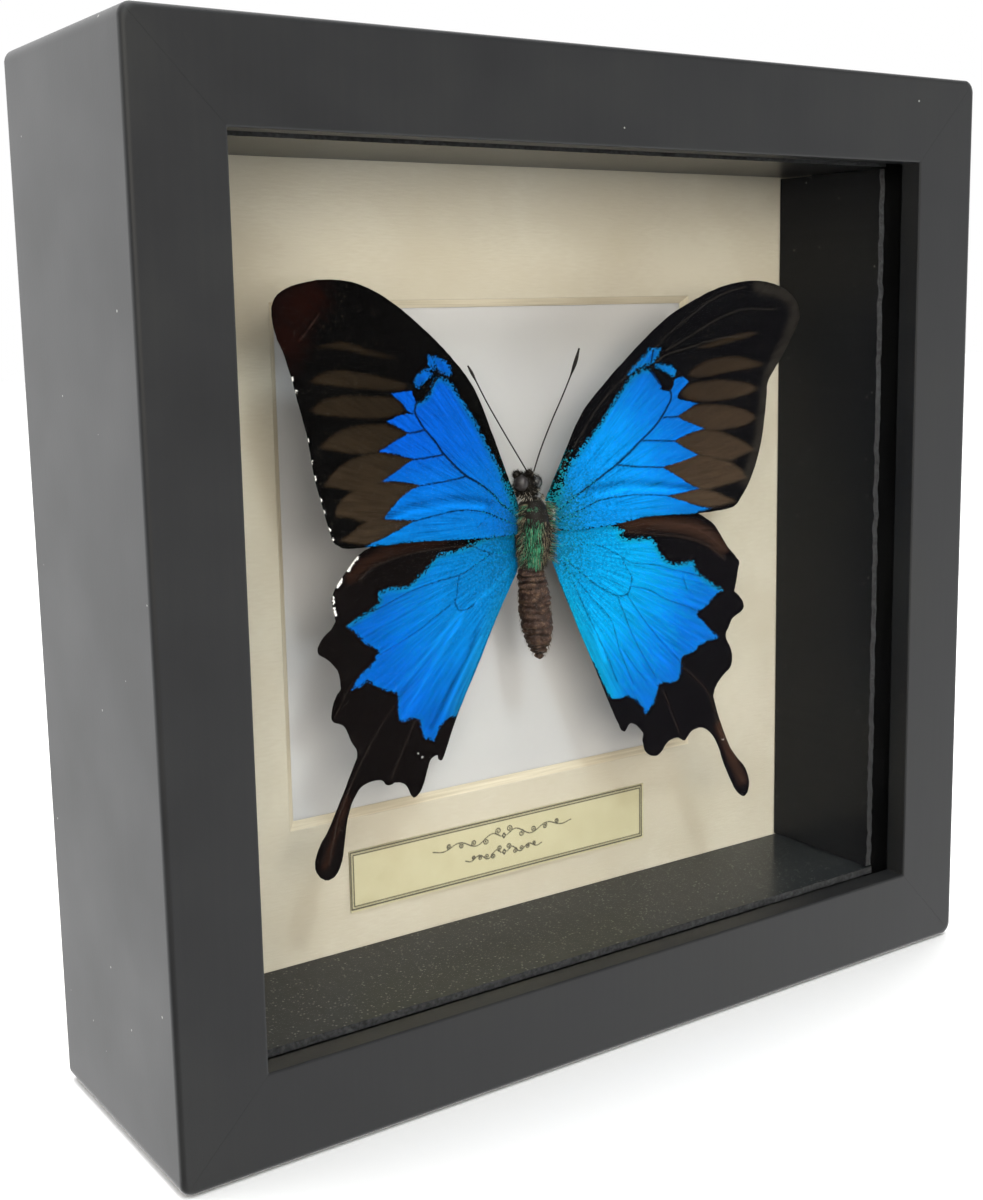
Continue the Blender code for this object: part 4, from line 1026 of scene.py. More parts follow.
def wing_fields(pattern, places, root):
    """What the wing's material draws its markings from, in millimetres or as shares."""
    runs = pattern["blue"]
    near = np.array([distance_to(places, open_line(points)) for _, points in runs])
    blur = np.array([soft for soft, _ in runs])[near.argmin(axis=0)]
    blue = depth_inside(places, closed_line([points for _, points in runs]))
    for island in pattern["islands"]:
        spot = depth_inside(places, closed_line([[*island, island[0]]]))
        blur = np.where(spot > blue, 0.4, blur)
        blue = np.maximum(blue, spot)
    brown = np.full(len(places), -NOWHERE)
    for patch in pattern["brown"]:
        brown = np.maximum(brown, depth_inside(places, closed_line(patch, 4)))
    offset = places - root
    return {
        "blue": blue, "blur": blur, "brown": brown,
        "inner": near[-1],
        "vein": line_field(places, pattern["dark_veins"]),
        # Painted highlights along raised veins, and a painted glint, in the pale colour.
        "pale": line_field(places, pattern["painted_vein_highlights"]),
        "sheen_and_brown": soft_field(places, pattern["sheen_and_brown"]),
        # Painted fold light: painted highlights along the folds, less painted shade in their creases.
        "gleam": (soft_field(places, [(0.5, line) for line in pattern["painted_fold_highlights"]])
                  - soft_field(places, [(0.7, line) for line in pattern["painted_fold_shades"]])),
        "fleck": line_field(places, pattern["flecks"]),
        "angle": 30.0 * np.arctan2(offset[:, 1], offset[:, 0]),
        "radius": np.hypot(offset[:, 0], offset[:, 1]),
    }


def wing(node, pattern, side, lift, root, materials, seed):
    """One wing as a thin pleated sheet with raised veins. Its root dips towards its joint with the body."""
    bm = bmesh.new()
    noise.seed_set(RIM_SEED)
    rough = Vector((seed, 0, 0))
    rim = []
    for out, height in closed_line(pattern["outline"], 8)[:-1]:
        ragged = noise.noise_vector(Vector((out, height, 0)) * 2.2 + rough) * RAGGED
        rim.append(bm.verts.new((out + ragged.x, 0, height + ragged.z)))
    bm.faces.new(rim)
    cut_into_slices(bm, 0, LATTICE)
    cut_into_slices(bm, 2, LATTICE)
    places = np.array([(vert.co.x, vert.co.z) for vert in bm.verts])
    fields = wing_fields(pattern, places, np.array(root))
    carry(bm, fields)
    from_vein = np.clip(least(fields["vein"], fields["pale"]), 0, NOWHERE)
    ridges = VEIN_RISE * np.exp(-(from_vein / VEIN_HALF_WIDTH) ** 2)
    for vert, ridge, angle, radius in zip(bm.verts, ridges, fields["angle"], fields["radius"]):
        out = vert.co.x
        dip = ROOT_DROP * math.exp(-max(out - ROOT_OUT, 0) / ROOT_REACH)
        pleat = PLEAT * noise.noise(Vector((angle * 0.16, radius * 0.03, seed))) * min(radius / 30, 1)
        vert.co.x = BODY_X + side * out + ROOT_LEAN * dip
        vert.co.y = MAT_FRONT - lift[0] - lift[1] * out + dip - ridge + pleat
        vert.co.z -= 0.15 * dip
    backs = bmesh.ops.extrude_face_region(bm, geom=bm.faces[:], use_keep_orig=True)["geom"]
    backs = [item for item in backs if isinstance(item, bmesh.types.BMVert)]
    bmesh.ops.translate(bm, vec=(0, WING_SHEET, 0), verts=backs)
    bmesh.ops.recalc_face_normals(bm, faces=bm.faces)
    for face in bm.faces:
        face.material_index = int(face.normal.y > 0.5)
    finish_mesh("scaled_" + node, bm, materials, [node], recalculate=False)


def wing_scales(name, reach, blues, inner, grounds, browns, sheen_and_brown, pale, teal_root, vein_share):
    """Overlapping wing scales. Real ones are about 0.13 mm wide, and they are drawn in tufts of 0.28 mm so
    that they show. The lit field's colour comes from the scales' own layers, so it is strong and a little
    glossy, and it shifts from the root out to reach, in millimetres. Dark scales mix in at its edges. Streaks
    run out along the wing, as its veins and folds do. The inner edge is (share, colour, width)."""
    material, tree, shader = new_material(name, Roughness=0.5, Specular_IOR_Level=0.02)
    keys = ("blue", "blur", "brown", "inner", "vein", "pale", "sheen_and_brown", "gleam", "fleck", "angle", "radius")
    field = {key: add(tree, "Attribute", attribute_name=key).outputs["Fac"] for key in keys}
    place = add(tree, "TexCoord").outputs["Object"]
    cells = add(tree, "TexVoronoi", {"Vector": place, "Scale": 3600.0}).outputs["Color"]
    split = add(tree, "SeparateColor", {"Color": cells})
    centred = add(tree, "Math", {0: split.outputs["Red"], 1: 0.5}, operation="SUBTRACT")
    rays = add(tree, "CombineXYZ", {0: field["angle"], 1: field["radius"]})
    along = add(tree, "Mapping", {"Vector": rays, "Scale": (1.1, 0.07, 1.0)})
    streak = add(tree, "TexNoise", {"Vector": along, "Scale": 1.0, "Detail": 4.0})
    fine_along = add(tree, "Mapping", {"Vector": rays, "Scale": (2.8, 0.15, 1.0)})
    fine = add(tree, "TexNoise", {"Vector": fine_along, "Scale": 1.0, "Detail": 2.0})
    # The streaks crowd together at the root, so they fade out there.
    spread = add(tree, "MapRange", {"Value": field["radius"], "From Min": 4.0, "From Max": 20.0,
                                    "To Min": 0.1})
    fine = add(tree, "Mix", {"Factor": spread, "A": 0.5, "B": fine})
    streak = add(tree, "Mix", {"Factor": spread, "A": 0.5, "B": streak})

    # Dark ground, with its reddish or paler stretches: on the forewings these are painted sheen, on the
    # hindwings partly brown scales and partly painted sheen.
    dusk = add(tree, "Mix", {"Factor": fine, "A": colour(grounds[0]), "B": colour(grounds[1])},
               data_type="RGBA")
    sheen_and_brown_share = add(tree, "Math", {0: field["sheen_and_brown"], 1: fine}, operation="MULTIPLY")
    sheen_and_brown_share = add(tree, "MapRange", {"Value": sheen_and_brown_share, "From Min": 0.1, "From Max": 0.55})
    dusk = add(tree, "Mix", {"Factor": sheen_and_brown_share, "A": dusk, "B": colour(sheen_and_brown)}, data_type="RGBA")

    # Brown patches between the veins, finely lined along the rays.
    haired = add(tree, "Mix", {"Factor": fine, "A": colour(browns[0]), "B": colour(browns[1])},
                 data_type="RGBA")
    shade = add(tree, "MapRange", {"Value": field["angle"], "From Min": 0.0, "From Max": 20.0, "To Min": 1.0,
                                   "To Max": 0.45})
    haired = add(tree, "VectorMath", {0: haired, "Scale": shade}, operation="SCALE")
    edge = add(tree, "Math", {0: centred, 1: 0.35, 2: field["brown"]}, operation="MULTIPLY_ADD")
    on_brown = add(tree, "MapRange", {"Value": edge, "From Min": -0.25, "From Max": 0.35})
    dusk = add(tree, "Mix", {"Factor": on_brown, "A": dusk, "B": haired}, data_type="RGBA")
    # Painted highlights along the raised veins, in the pale colour.
    edge = add(tree, "Math", {0: centred, 1: 0.2, 2: field["pale"]}, operation="MULTIPLY_ADD")
    on_vein_highlight = add(tree, "MapRange", {"Value": edge, "From Min": 0.0, "From Max": 0.15, "To Min": 0.55,
                                     "To Max": 0.0})
    dusk = add(tree, "Mix", {"Factor": on_vein_highlight, "A": dusk, "B": colour(pale)}, data_type="RGBA")

    # A little pale dust.
    dust = add(tree, "MapRange", {"Value": split.outputs["Blue"], "From Min": 0.985, "From Max": 0.995,
                                  "To Max": 0.12})
    dusk = add(tree, "Mix", {"Factor": dust, "A": dusk, "B": colour("7A7268")}, data_type="RGBA")

    # Scattered green-blue scales on the dark ground near the root.
    rootward = add(tree, "MapRange", {"Value": field["radius"], "From Min": 4.0, "From Max": 15.0,
                                      "To Min": 0.6, "To Max": 0.0})
    lit = add(tree, "Math", {0: split.outputs["Green"], 1: rootward}, operation="LESS_THAN")
    dusk = add(tree, "Mix", {"Factor": lit, "A": dusk, "B": colour(teal_root)}, data_type="RGBA")

    # The lit field: its colour goes by radius, streak and scale, and its inner edge is greener. The shift by
    # radius is painted sheen of the iridescent scales.
    share = add(tree, "Math", {0: field["radius"], 1: 1 / reach}, operation="MULTIPLY")
    for part, strength in ((streak, 0.5), (centred, 0.3)):
        share = add(tree, "Math", {0: part, 1: strength, 2: share}, operation="MULTIPLY_ADD")
    share = add(tree, "Math", {0: share, 1: 0.25}, operation="SUBTRACT")
    bright = add(tree, "ValToRGB", {"Fac": share}, stops=blues)
    near_inner = add(tree, "MapRange", {"Value": field["inner"], "From Min": 0.0, "From Max": inner[2],
                                        "To Min": inner[0], "To Max": 0.0})
    away = add(tree, "MapRange", {"Value": field["radius"], "From Min": 4.0, "From Max": 14.0})
    near_inner = add(tree, "Math", {0: near_inner, 1: away}, operation="MULTIPLY")
    bright = add(tree, "Mix", {"Factor": near_inner, "A": bright, "B": colour(inner[1])}, data_type="RGBA")
    # Where the lit field frays out, its last scales are greener.
    frayed = add(tree, "MapRange", {"Value": field["blue"], "From Min": 0.1, "From Max": 1.1, "To Min": 0.6,
                                    "To Max": 0.0})
    soft = add(tree, "MapRange", {"Value": field["blur"], "From Min": 0.25, "From Max": 0.5})
    frayed = add(tree, "Math", {0: frayed, 1: soft}, operation="MULTIPLY")
    bright = add(tree, "Mix", {"Factor": frayed, "A": bright, "B": colour(teal_root)}, data_type="RGBA")
    # Brightness sways with the painted fold light and shade, and with random streaks and scales.
    sway = add(tree, "Math", {0: field["gleam"], 1: 0.32}, operation="MULTIPLY")
    for part, strength in ((fine, 0.75), (streak, 0.85), (centred, 0.22)):
        sway = add(tree, "Math", {0: part, 1: strength, 2: sway}, operation="MULTIPLY_ADD")
    bright = add(tree, "VectorMath", {0: bright, "Scale": sway}, operation="SCALE")
    scatter = add(tree, "Math", {0: centred, 1: 2.0}, operation="MULTIPLY")
    edge = add(tree, "Math", {0: scatter, 1: field["blur"], 2: field["blue"]}, operation="MULTIPLY_ADD")
    on_blue = add(tree, "MapRange", {"Value": edge, "From Min": -0.06, "From Max": 0.12})
    edge = add(tree, "Math", {0: centred, 1: 0.12, 2: field["vein"]}, operation="MULTIPLY_ADD")
    off_vein = add(tree, "MapRange", {"Value": edge, "From Min": -0.06, "From Max": 0.12,
                                      "To Min": vein_share, "To Max": 1.0})
    on_blue = add(tree, "Math", {0: on_blue, 1: off_vein}, operation="MULTIPLY")
    tone = add(tree, "Mix", {"Factor": on_blue, "A": dusk, "B": bright}, data_type="RGBA")

    # White fringe scales left in the notches of the edge.
    edge = add(tree, "Math", {0: centred, 1: 0.3, 2: field["fleck"]}, operation="MULTIPLY_ADD")
    on_fleck = add(tree, "MapRange", {"Value": edge, "From Min": -0.05, "From Max": 0.08, "To Min": 1.0,
                                      "To Max": 0.0})
    tone = add(tree, "Mix", {"Factor": on_fleck, "A": tone, "B": colour("E9E6E4")}, data_type="RGBA")
    rough = add(tree, "MapRange", {"Value": on_blue, "To Min": 0.62, "To Max": 0.42})
    bump = add(tree, "Bump", {"Strength": 0.2, "Distance": 0.00005, "Height": split.outputs["Blue"]})
    plug(shader, {"Base Color": tone, "Roughness": rough, "Normal": bump})
    return material


def wing_underside():
    """The plain brown scales of the underside, with paler dusting and darker veins along the rays."""
    material, tree, shader = new_material("brown_underside_scales", Roughness=0.65, Specular_IOR_Level=0.3)
    keys = ("angle", "radius", "vein")
    angle, radius, vein = (add(tree, "Attribute", attribute_name=key).outputs["Fac"] for key in keys)
    rays = add(tree, "CombineXYZ", {0: angle, 1: radius})
    along = add(tree, "Mapping", {"Vector": rays, "Scale": (2.0, 0.1, 1.0)})
    streak = add(tree, "TexNoise", {"Vector": along, "Scale": 1.0, "Detail": 4.0})
    tone = add(tree, "ValToRGB", {"Fac": streak}, stops=((0.3, "2A1E16"), (0.55, "45352A"), (0.75, "5F4F40")))
    on_vein = add(tree, "MapRange", {"Value": vein, "From Min": -0.05, "From Max": 0.1, "To Min": 1.0,
                                     "To Max": 0.0})
    tone = add(tree, "Mix", {"Factor": on_vein, "A": tone, "B": colour("1B130E")}, data_type="RGBA")
    plug(shader, {"Base Color": tone})
    return material


# The palettes differ from wing to wing because of how the light falls on the iridescent scales: the right
# wings' brighter, more cyan blue and the right forewing's paler black and brown are painted sheen.
WING_LOOKS = {
    ("left", "forewing"): dict(
        blues=((0.1, "0B5488"), (0.3, "015EBC"), (0.6, "015AC2"), (1.0, "0055C6")),
        inner=(1.0, "0172C6", 16.0), grounds=("020202", "050404"), browns=("17100B", "3F3326"), sheen_and_brown="140503",
        pale="4A3832", teal_root="0A6A80", vein_share=0.12),
    ("right", "forewing"): dict(
        blues=((0.1, "106A88"), (0.3, "047ED0"), (0.6, "038CE4"), (0.85, "036CCE"), (1.0, "0462BE")),
        inner=(0.3, "057CCA", 6.0), grounds=("030305", "08070A"), browns=("291F18", "4C3E30"), sheen_and_brown="25221F",
        pale="36322E", teal_root="0E7686", vein_share=0.15),
    ("left", "hindwing"): dict(
        blues=((0.1, "056090"), (0.3, "0272B8"), (0.6, "0274C6"), (0.85, "0162C0"), (1.0, "015ABE")),
        inner=(0.8, "10749A", 4.0), grounds=("050303", "0E0A0A"), browns=("1C1612", "40352A"), sheen_and_brown="24150F",
        pale="322B27", teal_root="0B7C90", vein_share=0.4),
    ("right", "hindwing"): dict(
        blues=((0.1, "10749A"), (0.25, "0289CC"), (0.55, "029CDE"), (0.8, "027FD4"), (1.0, "0364C8")),
        inner=(0.8, "0892B6", 4.0), grounds=("040305", "0B090D"), browns=("1C1612", "40352A"), sheen_and_brown="34221A",
        pale="3A2E27", teal_root="0E93A4", vein_share=0.4),
}
PATTERNS = {
    ("left", "forewing"): LEFT_FOREWING, ("right", "forewing"): RIGHT_FOREWING,
    ("left", "hindwing"): LEFT_HINDWING, ("right", "hindwing"): RIGHT_HINDWING,
}
WING_SETS = {"forewing": (FOREWING_LIFT, (2.0, 97.0), 36.0), "hindwing": (HINDWING_LIFT, (2.0, 92.0), 40.0)}


def all_wings():
    """Both pairs. A kind of wing has its lift, its root and the reach over which its colour shifts."""
    under = wing_underside()
    for seed, ((hand, kind), pattern) in enumerate(PATTERNS.items(), 1):
        lift, root, reach = WING_SETS[kind]
        scales = wing_scales(f"{hand}_{kind}_scales", reach, **WING_LOOKS[hand, kind])
        side = -1 if hand == "left" else 1
        wing(f"{kind}_{hand}", pattern, side, lift, root, [scales, under], float(seed))


# The body

THORAX = ((101.6, 0.0), (101.4, 1.2), (100.2, 2.3), (97.8, 3.0), (94.5, 3.2), (91.5, 2.9), (89.4, 2.2),
          (88.8, 1.4), (88.6, 0.0))
THORAX_DEPTH_SHARE = 1.15
ABDOMEN = ((89.0, 0.0), (88.6, 1.5), (87.6, 2.45), (85.0, 2.95), (80.0, 3.1), (76.0, 3.0), (73.2, 2.3),
           (71.6, 1.5), (70.5, 0.6), (70.0, 0.0))
ABDOMEN_DRIFT = 0.1  # sideways for each millimetre down
THORAX_X = BODY_X - 0.4
FACING = math.radians(33)  # how far left of the front the green stripe of the thorax lies


def turned_skin(profile, centre, depth_share, drift, steps, fineness, relief):
    """A smooth profile turned round an upright axis, then pushed out or in by relief(angle, height)."""
    bm = bmesh.new()
    rim = [bm.verts.new((max(radius, 0.0), 0.0, height)) for height, radius in open_line(profile, fineness)]
    edges = [bm.edges.new(pair) for pair in zip(rim, rim[1:])]
    bmesh.ops.spin(bm, geom=rim + edges, cent=(0, 0, 0), axis=(0, 0, 1), angle=math.tau, steps=steps,
                   use_merge=True)
    bmesh.ops.remove_doubles(bm, verts=bm.verts, dist=1e-3)
    for vert in bm.verts:
        around = math.hypot(vert.co.x, vert.co.y)
        grown = 1 + relief(math.atan2(vert.co.y, vert.co.x), vert.co.z) / max(around, 0.5)
        vert.co.x = centre[0] + vert.co.x * grown + drift * (profile[0][0] - vert.co.z)
        vert.co.y = centre[1] + vert.co.y * grown * depth_share
    return bm


def radius_at(profile, height):
    """How wide a turned profile is at this height."""
    heights, radii = open_line(profile, 6)[::-1].T
    return float(np.interp(height, heights, radii))


def on_thorax(angle, height, out=0.0):
    """A point on the thorax: angle is measured from the front towards the left."""
    radius = radius_at(THORAX, height) + out
    x, y = radius * math.sin(angle), THORAX_DEPTH_SHARE * radius * math.cos(angle)
    return Vector((THORAX_X - x, BODY_Y - y, height))


def outward(angle, rise=0.0):
    """The way straight out of the body at this angle from the front towards the left."""
    return Vector((-math.sin(angle), -math.cos(angle), rise))


def any_way(rough):
    """A direction drawn at random."""
    return Vector([rough.gauss(0, 1) for _ in range(3)]).normalized()


def combed(root, direction, length, droop, rough, steps=3):
    """A hair that leaves its root this way and droops, with a little disorder."""
    points, heading = [root], Vector(direction).normalized()
    for _ in range(steps):
        stray = Vector((rough.gauss(0, 0.09), rough.gauss(0, 0.09), 0))
        heading = (heading + droop / steps + stray).normalized()
        points.append(points[-1] + heading * length / steps)
    return points


def thorax_fur(materials):
    """Fur combed down the back: a green stripe, tan beside it, and dark flanks that spread to the wings."""
    rough = random.Random(5)
    coats = {"green": [], "tan": [], "dark": []}
    for _ in range(THORAX_HAIRS):
        angle = rough.uniform(-2.0, 2.6)
        height = rough.uniform(88.9, 101.2)
        across = abs(angle - FACING) + rough.gauss(0, 0.12)
        coat = "green" if across < 0.54 and rough.random() < 0.85 else "dark"
        if rough.random() < (0.3 if 0.45 < across < 1.1 else 0.08):
            coat = "tan"
        root = on_thorax(angle, height, -0.1)
        lie = Vector((0, 0, -1)) + outward(angle) * rough.uniform(0.12, 0.4)
        side = -0.35 if coat == "dark" and math.sin(angle) > 0.8 else 0.0
        droop = Vector((side, 0.1, -0.5))
        coats[coat].append(combed(root, lie, rough.uniform(0.9, 1.9), droop, rough))
    for side in (-1, 1):
        for _ in range(WING_JOINT_HAIRS):
            height = rough.uniform(89.5, 100.5)
            start = Vector((BODY_X + side * 2.4, BODY_Y - rough.uniform(0.2, 1.6), height))
            away = Vector((side, -0.25, rough.uniform(-0.6, 0.35)))
            coat = rough.choice(("tan", "dark", "dark", "green"))
            coats[coat].append(combed(start, away, rough.uniform(1.3, 3.0), Vector((0, 0.05, -0.5)), rough))
    for coat, lines in coats.items():
        strands("thorax_fur_" + coat, lines, 0.045, materials[coat])


def thorax_skin(material):
    """The skin under the fur, a little lumpy."""
    def relief(angle, height):
        return 0.16 * noise.noise(Vector((math.cos(angle), math.sin(angle), height * 0.5)) * 1.5)

    bm = turned_skin(THORAX, (THORAX_X, BODY_Y), THORAX_DEPTH_SHARE, 0.0, 48, 6, relief)
    finish_mesh("thorax_skin", bm, [material], ["thorax"], smooth_angle=80)


def abdomen(skin, hair):
    """Shrunken and wrinkled: rings closed up unevenly, a pit near the tip, and sparse broken hair."""
    rough = random.Random(8)
    folds = []
    height = 87.9
    while height > 71.0:
        folds.append((height, rough.uniform(0.28, 0.5), rough.uniform(0, 6.28)))
        height -= rough.uniform(0.95, 1.75)
    pit_angle, pit_height = 0.38, 71.4

    def sunk(angle, height):
        lines = [(fold + 0.3 * math.sin(angle + turn) + 0.15 * math.sin(3 * angle + 2 * turn), deep)
                 for fold, deep, turn in folds]
        return sum(deep * math.exp(-((height - line) / 0.24) ** 2) for line, deep in lines)

    def relief(angle, height):
        push = 0.42 * noise.noise(Vector((math.cos(angle) * 1.3, math.sin(angle) * 1.3, height * 0.42)))
        push += 0.26 * noise.noise(Vector((math.cos(angle) * 4, math.sin(angle) * 4, height * 1.9)))
        return push - sunk(angle, height)

    centre = (BODY_X - 0.8, BODY_Y)
    bm = turned_skin(ABDOMEN, centre, 1.0, ABDOMEN_DRIFT, 72, 16, relief)
    tip = centre[0] + ABDOMEN_DRIFT * 17.1
    layer, fold_shade_layer = bm.verts.layers.float.new("pit"), bm.verts.layers.float.new("fold")
    for vert in bm.verts:
        across = vert.co.x - centre[0] - ABDOMEN_DRIFT * (ABDOMEN[0][0] - vert.co.z)
        # How deep each ring folds in, which the skin's material turns into painted shade.
        vert[fold_shade_layer] = sunk(math.atan2(vert.co.y - BODY_Y, across), vert.co.z)
        turned = math.atan2(-across, BODY_Y - vert.co.y)
        away = math.hypot(1.4 * (turned - pit_angle), vert.co.z - pit_height)
        vert[layer] = away
        vert.co += (Vector((tip, BODY_Y, vert.co.z)) - vert.co) * 0.35 * math.exp(-(away / 0.45) ** 2)
    finish_mesh("abdomen_skin", bm, [skin], ["abdomen"], smooth_angle=80)
    lines = []
    for _ in range(ABDOMEN_HAIRS):
        angle, height = rough.uniform(-2.2, 2.8), rough.uniform(71.0, 88.0)
        radius = radius_at(ABDOMEN, height) - 0.12
        root = Vector((centre[0] + ABDOMEN_DRIFT * (89 - height) - radius * math.sin(angle),
                       BODY_Y - radius * math.cos(angle), height))
        length = rough.uniform(0.35, 0.9)
        lines.append(combed(root, outward(angle, -1.6), length, Vector((0, 0, -0.3)), rough, 2))
    strands("abdomen_hair", lines, 0.03, hair)


def bead(name, centre, radii, material, replaced=(), lumps=0.0):
    """A ball with its own radius along each axis, and lumps if it needs them."""
    bm = bmesh.new()
    bmesh.ops.create_uvsphere(bm, u_segments=40, v_segments=24, radius=1.0)
    for vert in bm.verts:
        swell = 1 + lumps * noise.noise(vert.co * 2.3 + Vector(centre))
        vert.co = Vector([place + radius * swell * part for place, radius, part in zip(centre, radii,
                                                                                       vert.co)])
    finish_mesh(name, bm, [material], replaced, smooth_angle=80)


def head(materials):
    """A dark furry head with two big round eyes, the left one lighter grey as a painted highlight, and two
    bristly feelers at its top.
    """
    middle = Vector((BODY_X - 0.2, HEAD_Y, 103.4))
    bead("head_skin", middle, (2.5, 2.2, 2.5), materials["skin"], ["head"], 0.15)
    left_eye, right_eye = Vector((-5.35, HEAD_Y - 0.9, 104.1)), Vector((-2.35, HEAD_Y - 1.5, 104.2))
    # The left eye wears the lighter grey copy of the eye material: a painted highlight.
    bead("eye_left", left_eye, (1.4, 1.4, 1.5), materials["highlit_eye"])
    bead("eye_right", right_eye, (1.15, 1.15, 1.3), materials["eye"])
    left_feeler, right_feeler = Vector((-6.0, HEAD_Y - 0.3, 105.75)), Vector((-3.7, HEAD_Y - 1.3, 105.95))
    bead("feeler_left", left_feeler, (0.65, 0.6, 0.75), materials["skin"], (), 0.3)
    bead("feeler_right", right_feeler, (0.6, 0.6, 0.7), materials["skin"], (), 0.3)
    rough = random.Random(17)
    dark, pale = [], []
    still, droop = Vector((0, 0, 0)), Vector((0, 0, -0.5))
    for _ in range(HEAD_HAIRS):
        way = any_way(rough)
        if way.y > 0.5:
            continue
        root = middle + Vector((way.x * 2.45, way.y * 2.15, way.z * 2.45))
        if min((root - left_eye).length - 1.45, (root - right_eye).length - 1.2) < 0:
            continue
        coat = pale if rough.random() < 0.05 else dark
        coat.append(combed(root, way + Vector((0, 0, 0.15)), rough.uniform(0.35, 0.85), droop, rough, 2))
    for centre, reach in ((left_eye, 1.5), (right_eye, 1.25)):
        for step in range(LASHES):
            angle = step * math.tau / LASHES + rough.gauss(0, 0.03)
            way = Vector((math.cos(angle), rough.uniform(-0.35, 0.1), math.sin(angle)))
            root = centre + Vector((way.x, 0.25, way.z)) * reach * 0.97
            dark.append(combed(root, way + Vector((0, -0.5, 0)), rough.uniform(0.3, 0.6), still, rough, 2))
    for centre in (left_feeler, right_feeler):
        for _ in range(FEELER_HAIRS):
            way = any_way(rough)
            root = centre + way * 0.6
            dark.append(combed(root, way + Vector((0, 0, 0.5)), rough.uniform(0.3, 0.7), still, rough, 2))
    for _ in range(COLLAR_HAIRS):  # between head and thorax
        angle = rough.uniform(-1.5, 2.2)
        height = rough.uniform(101.0, 102.0)
        root = Vector((BODY_X - 2.1 * math.sin(angle), BODY_Y + 0.8 - 2.6 * math.cos(angle), height))
        coat = pale if rough.random() < 0.35 else dark
        coat.append(combed(root, outward(angle, -0.6), rough.uniform(0.35, 0.8), Vector((0, 0, -0.6)), rough))
    strands("head_fur_dark", dark, 0.04, materials["dark"])
    strands("head_fur_pale", pale, 0.05, materials["pale"])


def antenna(side, route, club_start, club_radius, material):
    """A stalk of short rings that ends in a slim club."""
    node = "antenna_left" if side < 0 else "antenna_right"
    points = open_line([(BODY_X + side * out, height, lift) for out, height, lift in route], 24)
    lengths = np.cumsum([0, *np.linalg.norm(np.diff(points, axis=0), axis=1)])
    radii = []
    for along in lengths / lengths[-1]:
        swell = max(along - club_start, 0) / (1 - club_start)
        stalk = STALK_RADIUS + RING_RISE * math.sin(along * 330)
        radii.append(stalk + club_radius * math.sin(min(swell * 1.08, 1) * math.pi * 0.9) ** 1.3)
    curve = tubes(node, 2)
    lay_tube(curve, [(x, MAT_FRONT - lift, height) for x, height, lift in points], radii)
    meshed("ringed_" + node, curve, material, [node])


def stray_hairs(material):
    """A few long hairs that have come loose beside the abdomen."""
    lines = [
        [(-13.3, MAT_FRONT - 10.2, 80.2), (-13.5, MAT_FRONT - 10.0, 78.4), (-13.1, MAT_FRONT - 9.8, 76.6),
         (-12.3, MAT_FRONT - 9.7, 75.0), (-11.8, MAT_FRONT - 9.6, 73.6)],
        [(-13.0, MAT_FRONT - 10.2, 79.6), (-12.9, MAT_FRONT - 10.1, 78.0), (-13.3, MAT_FRONT - 10.0, 76.8)],
    ]
    strands("stray_hair", lines, 0.035, material)


def fur_material(name, dark, light, gloss=0.5, metallic=0.0):
    """Scale-like hairs: tone changes from tuft to tuft, a millimetre or so wide, and from hair to hair."""
    material, tree, shader = new_material(name, Roughness=gloss, Metallic=metallic, Specular_IOR_Level=0.15)
    place = add(tree, "TexCoord").outputs["Object"]
    tuft = add(tree, "TexNoise", {"Vector": place, "Scale": 900.0, "Detail": 3.0})
    hairs = add(tree, "Mapping", {"Vector": place, "Scale": (9000.0, 9000.0, 700.0)})
    hair = add(tree, "TexNoise", {"Vector": hairs, "Scale": 1.0})
    mixed = add(tree, "Math", {0: hair, 1: 0.8, 2: tuft}, operation="MULTIPLY_ADD")
    tone = add(tree, "ValToRGB", {"Fac": mixed}, stops=((0.6, dark), (1.15, light)))
    plug(shader, {"Base Color": tone})
    return material


def wrinkled_skin():
    """Dried brown abdomen skin, with painted shade in its folds and in its pit."""
    material, tree, shader = new_material("dried_abdomen_skin", Roughness=0.6, Specular_IOR_Level=0.25)
    place = add(tree, "TexCoord").outputs["Object"]
    cloud = add(tree, "TexNoise", {"Vector": place, "Scale": 700.0, "Detail": 6.0})
    grain = add(tree, "TexNoise", {"Vector": place, "Scale": 4000.0, "Detail": 3.0})
    mixed = add(tree, "Math", {0: grain, 1: 0.5, 2: cloud}, operation="MULTIPLY_ADD")
    tone = add(tree, "ValToRGB", {"Fac": mixed}, stops=((0.5, "150C09"), (0.78, "3A2820"), (1.05, "66503F")))
    # The pit is painted near black: painted shade in the hollow.
    pit = add(tree, "Attribute", attribute_name="pit").outputs["Fac"]
    inside = add(tree, "MapRange", {"Value": pit, "From Min": 0.38, "From Max": 0.55, "To Min": 1.0,
                                    "To Max": 0.0})
    tone = add(tree, "Mix", {"Factor": inside, "A": tone, "B": colour("050404")}, data_type="RGBA")
    # Painted shade in the folds, darkest where the rings close up deepest.
    fold = add(tree, "Attribute", attribute_name="fold").outputs["Fac"]
    painted_fold_shade = add(tree, "MapRange", {"Value": fold, "From Min": 0.1, "From Max": 0.4, "To Max": 0.65})
    tone = add(tree, "Mix", {"Factor": painted_fold_shade, "A": tone, "B": colour("120B08")}, data_type="RGBA")
    bump = add(tree, "Bump", {"Strength": 0.7, "Distance": 0.0002, "Height": mixed})
    plug(shader, {"Base Color": tone, "Normal": bump})
    return material


